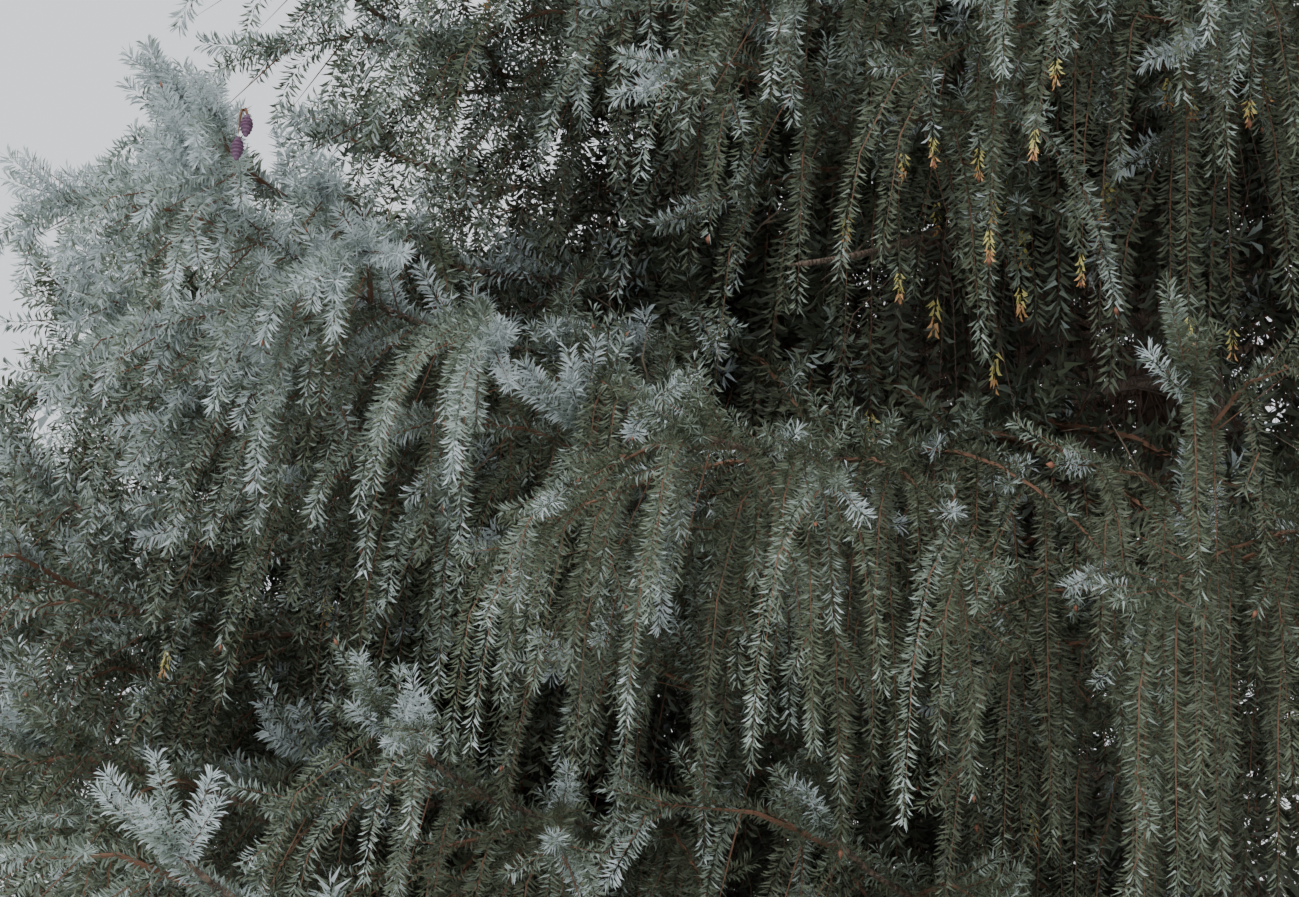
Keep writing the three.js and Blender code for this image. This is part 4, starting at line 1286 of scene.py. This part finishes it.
def make_dead_fringe():
    """Fine dead twigs that hang from the inner parts of low boughs, closest on the photographed side:
    each leaves level and turns down by the square of its share."""
    boughs, _, _ = grown()
    rng = np.random.default_rng(SEED + 9)
    lowest, highest = FRINGE_HEIGHTS
    at_height = (boughs.height > lowest) & (boughs.height < highest)
    low = np.flatnonzero(at_height & (boughs.reach > FRINGE_REACH))
    near = np.cos(boughs.turn[low] - PHOTOGRAPHED_SIDE) > FRINGE_SIDE
    bare = boughs.crowding[low] <= BARE_CROWDING
    number = np.select([bare, near], [BARE_FRINGE, NEAR_FRINGE], OTHER_FRINGE)
    which, _, share = stations(boughs.reach[low] * number, FRINGE_SPACING, rng)
    share = FRINGE_START + (FRINGE_END - FRINGE_START) * share
    which = low[which]
    root = boughs.point(which, share)
    count = which.size
    heading = unit(rng.normal(0, 1, (count, 3)) * (1, 1, 0))
    size = rng.uniform(*FRINGE_SIZES, count)
    t = np.array((0.0, 0.5, 1.0))[:, None]
    out, down = FRINGE_POWERS
    level = (rng.uniform(*FRINGE_LEVEL, count) * size)[:, None, None] * heading[:, None] * t**out
    points = root[:, None] + level - (size[:, None, None] * UP) * t**down
    points[:, 1:] += rng.normal(0, FRINGE_SCATTER, (count, 2, 3))
    radii = np.broadcast_to(FRINGE_RADII, (count, 3)) * rng.uniform(*FRINGE_THICKNESSES, count)[:, None]
    materials = [part_material("fringe_bark", "fringe", YOUNG_BARK)]
    mesh_piece("dead_fringe", *tubes(points, radii, heading, 3), materials, "bark")


def make_living_twigs():
    """The brown cores of side twigs and of every needled shoot."""
    _, twigs, shoots = grown()
    cores = merged([shoot_tubes(twigs, *TWIG_TUBE), shoot_tubes(shoots, *SHOOT_TUBE)])
    mesh_piece("living_twigs", *cores, [part_material("twig_bark", "twig", YOUNG_BARK)], "bark")


def needle_tones(shoots, owner, part, young, rng):
    """The tone number of each needle: its shoot's, now and then the next lighter or darker one,
    lighter at the shoot's end, now and then a tone darker as painted shade where it is coarse, and gold or
    rust where it is young."""
    tone = shoots.tone[owner].copy()
    chance = rng.random(owner.size)
    tone = np.where(chance < LIGHTER_SHARE, tone + 1, tone)
    tone = np.where(chance > NOT_DARKER_SHARE, tone - 1, tone)
    to_end = (1 - part) * shoots.length[owner] / shoots.coarse[owner]
    tone = np.where((to_end < LIGHT_END) & (chance < LIGHT_END_SHARE), tone + 1, tone)
    # Painted shade: coarse needles are now and then a tone darker, for the shade between fine ones
    darker = (shoots.coarse[owner] > DARKER_COARSENESS) & (rng.random(owner.size) < COARSE_DARKER_SHARE)
    tone = np.where(darker, tone - 1, tone)
    tone = np.clip(tone, SHADE, PALE)
    tone = np.where(young, GOLD, tone)
    return np.where(young & (to_end < YOUNGEST_LENGTH), RUST, tone)


def new_growth(shoots):
    """Which shoots end in this year's growth: many on the high right of the photographed side, and
    a few elsewhere."""
    rng = np.random.default_rng(SEED + 5)
    x, y, z = shoots.tip.T
    sunny = (z > SUNNY_HEIGHTS[0]) & (z < SUNNY_HEIGHTS[1]) & (x > SUNNY_LEFT) & (y < SUNNY_FRONT)
    falling = (shoots.root[:, 2] - z > FALLING_SHARE * shoots.length) & (shoots.length > FALLING_LENGTH)
    chance = np.where(sunny, SUNNY_GROWTH, OTHER_GROWTH) * (shoots.coarse < GROWTH_COARSENESS)
    return falling & (rng.random(len(shoots.root)) < chance)


def make_needles():
    """All needles, in pieces of neighbouring boughs, each under the limit on triangles. Each piece stands
    for the foliage masses of the tiers at its boughs' heights, and the last for what is left of them."""
    boughs, _, shoots = grown()
    rng = np.random.default_rng(SEED + 6)
    owner, place, part = needle_places(shoots, rng)
    to_end = (1 - part) * shoots.length[owner] / shoots.coarse[owner]
    young = new_growth(shoots)[owner] & (to_end < YOUNG_LENGTH)
    corners = needle_triangles(shoots, owner, place, part, young, rng)
    tone = needle_tones(shoots, owner, part, young, rng)
    rank = np.empty(len(boughs.height), dtype=int)
    by_height = np.argsort(boughs.height)
    rank[by_height] = np.arange(rank.size)
    order = np.argsort(rank[shoots.bough[owner]], kind="stable")
    ends = np.cumsum(np.bincount(rank[shoots.bough[owner]], minlength=rank.size))
    piece_of_rank = (ends - 1) // NEEDLES_PER_PIECE
    materials = [part_material(f"needle_{name}", name, NEEDLE) for name in TONES]
    heights = boughs.height[by_height]
    waiting = [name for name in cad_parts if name.startswith("foliage_")]
    start = 0
    for number in range(piece_of_rank[-1] + 1):
        stop = ends[piece_of_rank == number][-1]
        chosen = order[start:stop]
        triangles = corners[chosen].reshape(-1, 3)
        faces = np.arange(len(triangles)).reshape(-1, 3)
        piece = mesh_piece(f"needles_{number + 1}", triangles, faces, materials, "foliage", tone[chosen])
        lowest, highest = heights[piece_of_rank == number][[0, -1]]
        top = highest + TIER_MARGIN
        tiers = [str(row + 1) for row, tier in enumerate(TIERS) if lowest <= tier.height < top]
        last = number == piece_of_rank[-1]
        wanted = [name for name in waiting if last or name.removeprefix("foliage_")[:-1] in tiers]
        waiting = [name for name in waiting if name not in wanted]
        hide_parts(*wanted)
        start = stop


def make_buds():
    """Small eight-sided buds, as two joined pyramids, at the ends of shoots low in the crown."""
    _, _, shoots = grown()
    rng = np.random.default_rng(SEED + 7)
    chance = np.where(new_growth(shoots), BUD_SHARE, OTHER_BUD_SHARE)
    which = np.flatnonzero((rng.random(len(shoots.root)) < chance) & (shoots.coarse < BUD_COARSENESS))
    along = shoots.tangent(which, np.ones(which.size))
    side = unit(square_to(along, tilt=0.07))
    across = np.cross(along, side)
    size = rng.uniform(*BUD_SIZES, which.size)[:, None]
    centre = shoots.tip[which] + along * size
    corner = [centre - along * size * BUD_FOOT, centre + side * size, centre + across * size,
              centre - side * size, centre - across * size, centre + along * size * BUD_TIP]
    vertices = np.stack(corner, axis=1)
    belt = np.array([(1, 2), (2, 3), (3, 4), (4, 1)])
    faces = np.concatenate((np.insert(belt[:, ::-1], 0, 0, axis=1), np.insert(belt, 0, 5, axis=1)))
    faces = for_each(faces, which.size, len(corner))
    materials = [part_material("needle_bud", "bud", NEEDLE)]
    mesh_piece("buds", vertices.reshape(-1, 3), faces, materials, "foliage", smooth=True)


def cone_surface():
    """A young cone of unit length that hangs from the origin, on a grid: its outline is a power of a
    sine, and each row of scales is a lip over a groove, turned half a scale from the row above."""
    ring, place = np.meshgrid(np.arange(2 * CONE_ROWS + 1), np.arange(CONE_SCALES), indexing="ij")
    t = ring / (2 * CONE_ROWS)
    outline = 0.5 * CONE_SLIMNESS * np.sin(math.pi * np.clip(t, *CONE_ENDS) ** CONE_SKEW) ** CONE_FULLNESS
    radius = outline * np.where(ring % 2, SCALE_LIP, SCALE_GROOVE)
    angle = 2 * math.pi * (place + 0.5 * (ring // 2 % 2)) / CONE_SCALES
    down = -t - SCALE_DROP * (ring % 2)
    vertices = np.stack((radius * np.cos(angle), radius * np.sin(angle), down), axis=-1).reshape(-1, 3)
    vertices = np.concatenate((vertices, [(0.0, 0.0, 0.0), (0.0, 0.0, -CONE_FOOT)]))
    a, b = cells(2 * CONE_ROWS + 1, CONE_SCALES)
    low_a, low_b = a + CONE_SCALES, b + CONE_SCALES
    top = fan(0, CONE_SCALES, len(vertices) - 2)
    bottom = fan(2 * CONE_ROWS * CONE_SCALES, CONE_SCALES, len(vertices) - 1, turned_over=True)
    sides = np.stack((b, a, low_a), 1), np.stack((b, low_a, low_b), 1)
    return vertices, np.concatenate((*sides, top, bottom))


def cone_stations(rng):
    """Where pairs of cones hang: from the foremost tip in the sight line to the end of the bough with the
    broad pale end, and from outer tips high in the crown and on its far side. Gives the two points that
    each cone's stalk runs between, and the direction that the cone hangs in."""
    boughs, _, shoots = grown()
    tier = next(row for row, tier in enumerate(TIERS) if tier == CONE_TIER)
    first = sum(tier.count for tier in TIERS[:tier])
    target = boughs.point(first, CONE_SHARE) + UP * CONE_RISE
    sight = unit(target - SEEN_FROM)
    ahead = (shoots.tip - SEEN_FROM) @ sight
    aside = np.linalg.norm(shoots.tip - SEEN_FROM - ahead[:, None] * sight, axis=1)
    foremost = np.argmin(np.where(aside < CONE_ASIDE, ahead, np.inf))
    x, y, z = shoots.tip.T
    outer = np.hypot(x, y) > CONE_OUTER_SHARE * from_table(z, CROWN_OUTLINE)
    away = np.cos(np.arctan2(y, x) - PHOTOGRAPHED_SIDE) < 0
    others = np.flatnonzero(outer & ((z > CONE_HEIGHT) | (away & (z > FAR_CONE_HEIGHT))))
    which = np.repeat(np.concatenate(([foremost], rng.choice(others, CONE_PAIRS, replace=False))), 2)
    foot = shoots.tip[which]
    side = unit(np.cross(UP, outward(foot))) * np.where(np.arange(which.size) % 2, -1, 1)[:, None]
    end = foot + side * CONE_SPREAD - UP * CONE_SPREAD
    end[:2] -= sight * CONE_CLEAR
    hang = outward(foot) * CONE_LEAN + rng.normal(0, CONE_SCATTER, (which.size, 3)) - UP
    return foot, end, unit(hang)


def make_cones():
    """Young cones, each on a thin stalk, the second of a pair a little lower."""
    rng = np.random.default_rng(SEED + 8)
    surface, faces = cone_surface()
    foot, end, hang = cone_stations(rng)
    count = len(foot)
    length = CONE_LENGTH * rng.uniform(*CONE_SIZES, count)
    drop = np.where(np.arange(count) % 2, CONE_LENGTH * SECOND_DROP, 0.0)
    top = end + hang * drop[:, None]
    side = unit(square_to(hang, tilt=0.31))
    across = np.cross(hang, side)
    x, y, z = surface.T
    body = (top[:, None] + length[:, None, None] * (side[:, None] * x[:, None] + across[:, None] * y[:, None]
                                                   - hang[:, None] * z[:, None]))
    parts = for_each(faces, count, len(surface))
    materials = [part_material("young_cone", "cone", YOUNG_CONE)]
    mesh_piece("young_cones", body.reshape(-1, 3), parts[:, ::-1], materials, "foliage")
    lines = np.stack((foot, 0.5 * (foot + end) + UP * STALK_ARCH, end, top + hang * STALK_END), axis=1)
    stalks = tubes(lines, np.full((count, 4), STALK_RADIUS), side, STALK_SIDES)
    mesh_piece("cone_stalks", *stalks, [part_material("twig_bark", "twig", YOUNG_BARK)], "bark")


class SPRUCE_OT_trunk(bpy.types.Operator):
    """Adds the barked trunk"""

    bl_idname = "spruce.trunk"
    bl_label = "Trunk"

    def execute(self, context):
        make_trunk()
        return {"FINISHED"}


class SPRUCE_OT_boughs(bpy.types.Operator):
    """Adds the barked boughs and the leader"""

    bl_idname = "spruce.boughs"
    bl_label = "Boughs"

    def execute(self, context):
        make_boughs()
        return {"FINISHED"}


class SPRUCE_OT_dead_twigs(bpy.types.Operator):
    """Adds the bare dead twigs inside the crown"""

    bl_idname = "spruce.dead_twigs"
    bl_label = "Dead twigs"

    def execute(self, context):
        make_dead_twigs()
        make_dead_fringe()
        return {"FINISHED"}


class SPRUCE_OT_living_twigs(bpy.types.Operator):
    """Adds the twigs that carry the needles"""

    bl_idname = "spruce.living_twigs"
    bl_label = "Living twigs"

    def execute(self, context):
        make_living_twigs()
        return {"FINISHED"}


class SPRUCE_OT_needles(bpy.types.Operator):
    """Adds the needles in place of the foliage masses"""

    bl_idname = "spruce.needles"
    bl_label = "Needles"

    def execute(self, context):
        make_needles()
        return {"FINISHED"}


class SPRUCE_OT_buds(bpy.types.Operator):
    """Adds the buds at the shoots' ends"""

    bl_idname = "spruce.buds"
    bl_label = "Buds"

    def execute(self, context):
        make_buds()
        return {"FINISHED"}


class SPRUCE_OT_cones(bpy.types.Operator):
    """Adds the young cones and their stalks"""

    bl_idname = "spruce.cones"
    bl_label = "Cones"

    def execute(self, context):
        make_cones()
        return {"FINISHED"}


# Stage: the camera stands close to the crown's side and looks a little up
CAMERA_PLACE = (-0.84, -3.6, 1.55)
CAMERA_PITCH = 8.0
CAMERA_FOCAL_PIXELS = 2265.0
IMAGE_WIDTH = 1299.0
SENSOR_WIDTH = 36.0
CLIP_START = 0.05

# Floor disc: corners, radius, how far it lies under the trunk's cut, and its colour
FLOOR_CORNERS = 96
FLOOR_RADIUS = 30
FLOOR_DROP = 0.002
FLOOR_COLOUR = (0.74, 0.74, 0.72)

# Light: the sky's colour and strength, and the soft sun's strength, width and tilts in degrees
SKY_COLOUR = (0.81, 0.835, 0.88, 1)
SKY_STRENGTH = 1.42
SUN_STRENGTH = 1.75
SUN_WIDTH = 50
SUN_TILTS = (38, -18)


def make_floor():
    """A wide pale disc at ground level."""
    angle = np.arange(FLOOR_CORNERS) * 2 * math.pi / FLOOR_CORNERS
    level = np.full(FLOOR_CORNERS, -FLOOR_DROP)
    rim = np.stack((FLOOR_RADIUS * np.cos(angle), FLOOR_RADIUS * np.sin(angle), level), axis=1)
    vertices = np.concatenate((rim, [(0.0, 0.0, -FLOOR_DROP)]))
    mesh = bpy.data.meshes.new("floor")
    mesh.from_pydata(vertices.tolist(), [], fan(0, FLOOR_CORNERS, FLOOR_CORNERS).tolist())
    graph = Graph("pale_floor")
    mesh.materials.append(graph.finish(Base_Color=FLOOR_COLOUR, Roughness=0.9))
    floor = bpy.data.objects.new("floor", mesh)
    bpy.context.collection.objects.link(floor)


def make_stage():
    """Floor, camera, a pale sky and one broad soft light from above."""
    make_floor()
    camera = bpy.data.cameras.new("camera")
    camera.sensor_width = SENSOR_WIDTH
    camera.lens = SENSOR_WIDTH * CAMERA_FOCAL_PIXELS / IMAGE_WIDTH
    camera.clip_start = CLIP_START
    holder = bpy.data.objects.new("camera", camera)
    holder.location = CAMERA_PLACE
    holder.rotation_euler = (math.radians(90 + CAMERA_PITCH), 0, 0)
    bpy.context.collection.objects.link(holder)
    bpy.context.scene.camera = holder

    world = bpy.data.worlds.new("pale_sky")
    world.use_nodes = True
    background = world.node_tree.nodes["Background"]
    background.inputs["Color"].default_value = SKY_COLOUR
    background.inputs["Strength"].default_value = SKY_STRENGTH
    bpy.context.scene.world = world

    light = bpy.data.lights.new("soft_sun", "SUN")
    light.energy = SUN_STRENGTH
    light.angle = math.radians(SUN_WIDTH)
    lamp = bpy.data.objects.new("soft_sun", light)
    lamp.rotation_euler = (*map(math.radians, SUN_TILTS), 0)
    bpy.context.collection.objects.link(lamp)


class SPRUCE_OT_stage(bpy.types.Operator):
    """Adds the floor, the light and the camera"""

    bl_idname = "spruce.stage"
    bl_label = "Stage"

    def execute(self, context):
        make_stage()
        return {"FINISHED"}


STEPS = (SPRUCE_OT_stage, SPRUCE_OT_trunk, SPRUCE_OT_boughs, SPRUCE_OT_dead_twigs, SPRUCE_OT_living_twigs,
         SPRUCE_OT_needles, SPRUCE_OT_buds, SPRUCE_OT_cones)


class SPRUCE_PT_sidebar(bpy.types.Panel):
    """The steps and the settings, in the sidebar"""

    bl_label = "Spruce"
    bl_idname = "SPRUCE_PT_sidebar"
    bl_space_type = "VIEW_3D"
    bl_region_type = "UI"
    bl_category = "Spruce"

    def draw(self, context):
        for step in STEPS:
            self.layout.operator(step.bl_idname)
        for name in SpruceSettings.__annotations__:
            self.layout.prop(context.scene.spruce_settings, name)


CLASSES = (SpruceSettings, *STEPS, SPRUCE_PT_sidebar)


def register():
    """Registers the classes and the scene's settings."""
    for cls in CLASSES:
        bpy.utils.register_class(cls)
    bpy.types.Scene.spruce_settings = bpy.props.PointerProperty(type=SpruceSettings)


def unregister():
    """Removes the settings and the classes."""
    del bpy.types.Scene.spruce_settings
    for cls in reversed(CLASSES):
        bpy.utils.unregister_class(cls)


def main():
    """Builds the tree step by step."""
    register()
    bpy.ops.spruce.stage()
    bpy.ops.spruce.trunk()
    bpy.ops.spruce.boughs()
    bpy.ops.spruce.dead_twigs()
    bpy.ops.spruce.living_twigs()
    bpy.ops.spruce.needles()
    bpy.ops.spruce.buds()
    bpy.ops.spruce.cones()


if __name__ == "__main__":
    main()
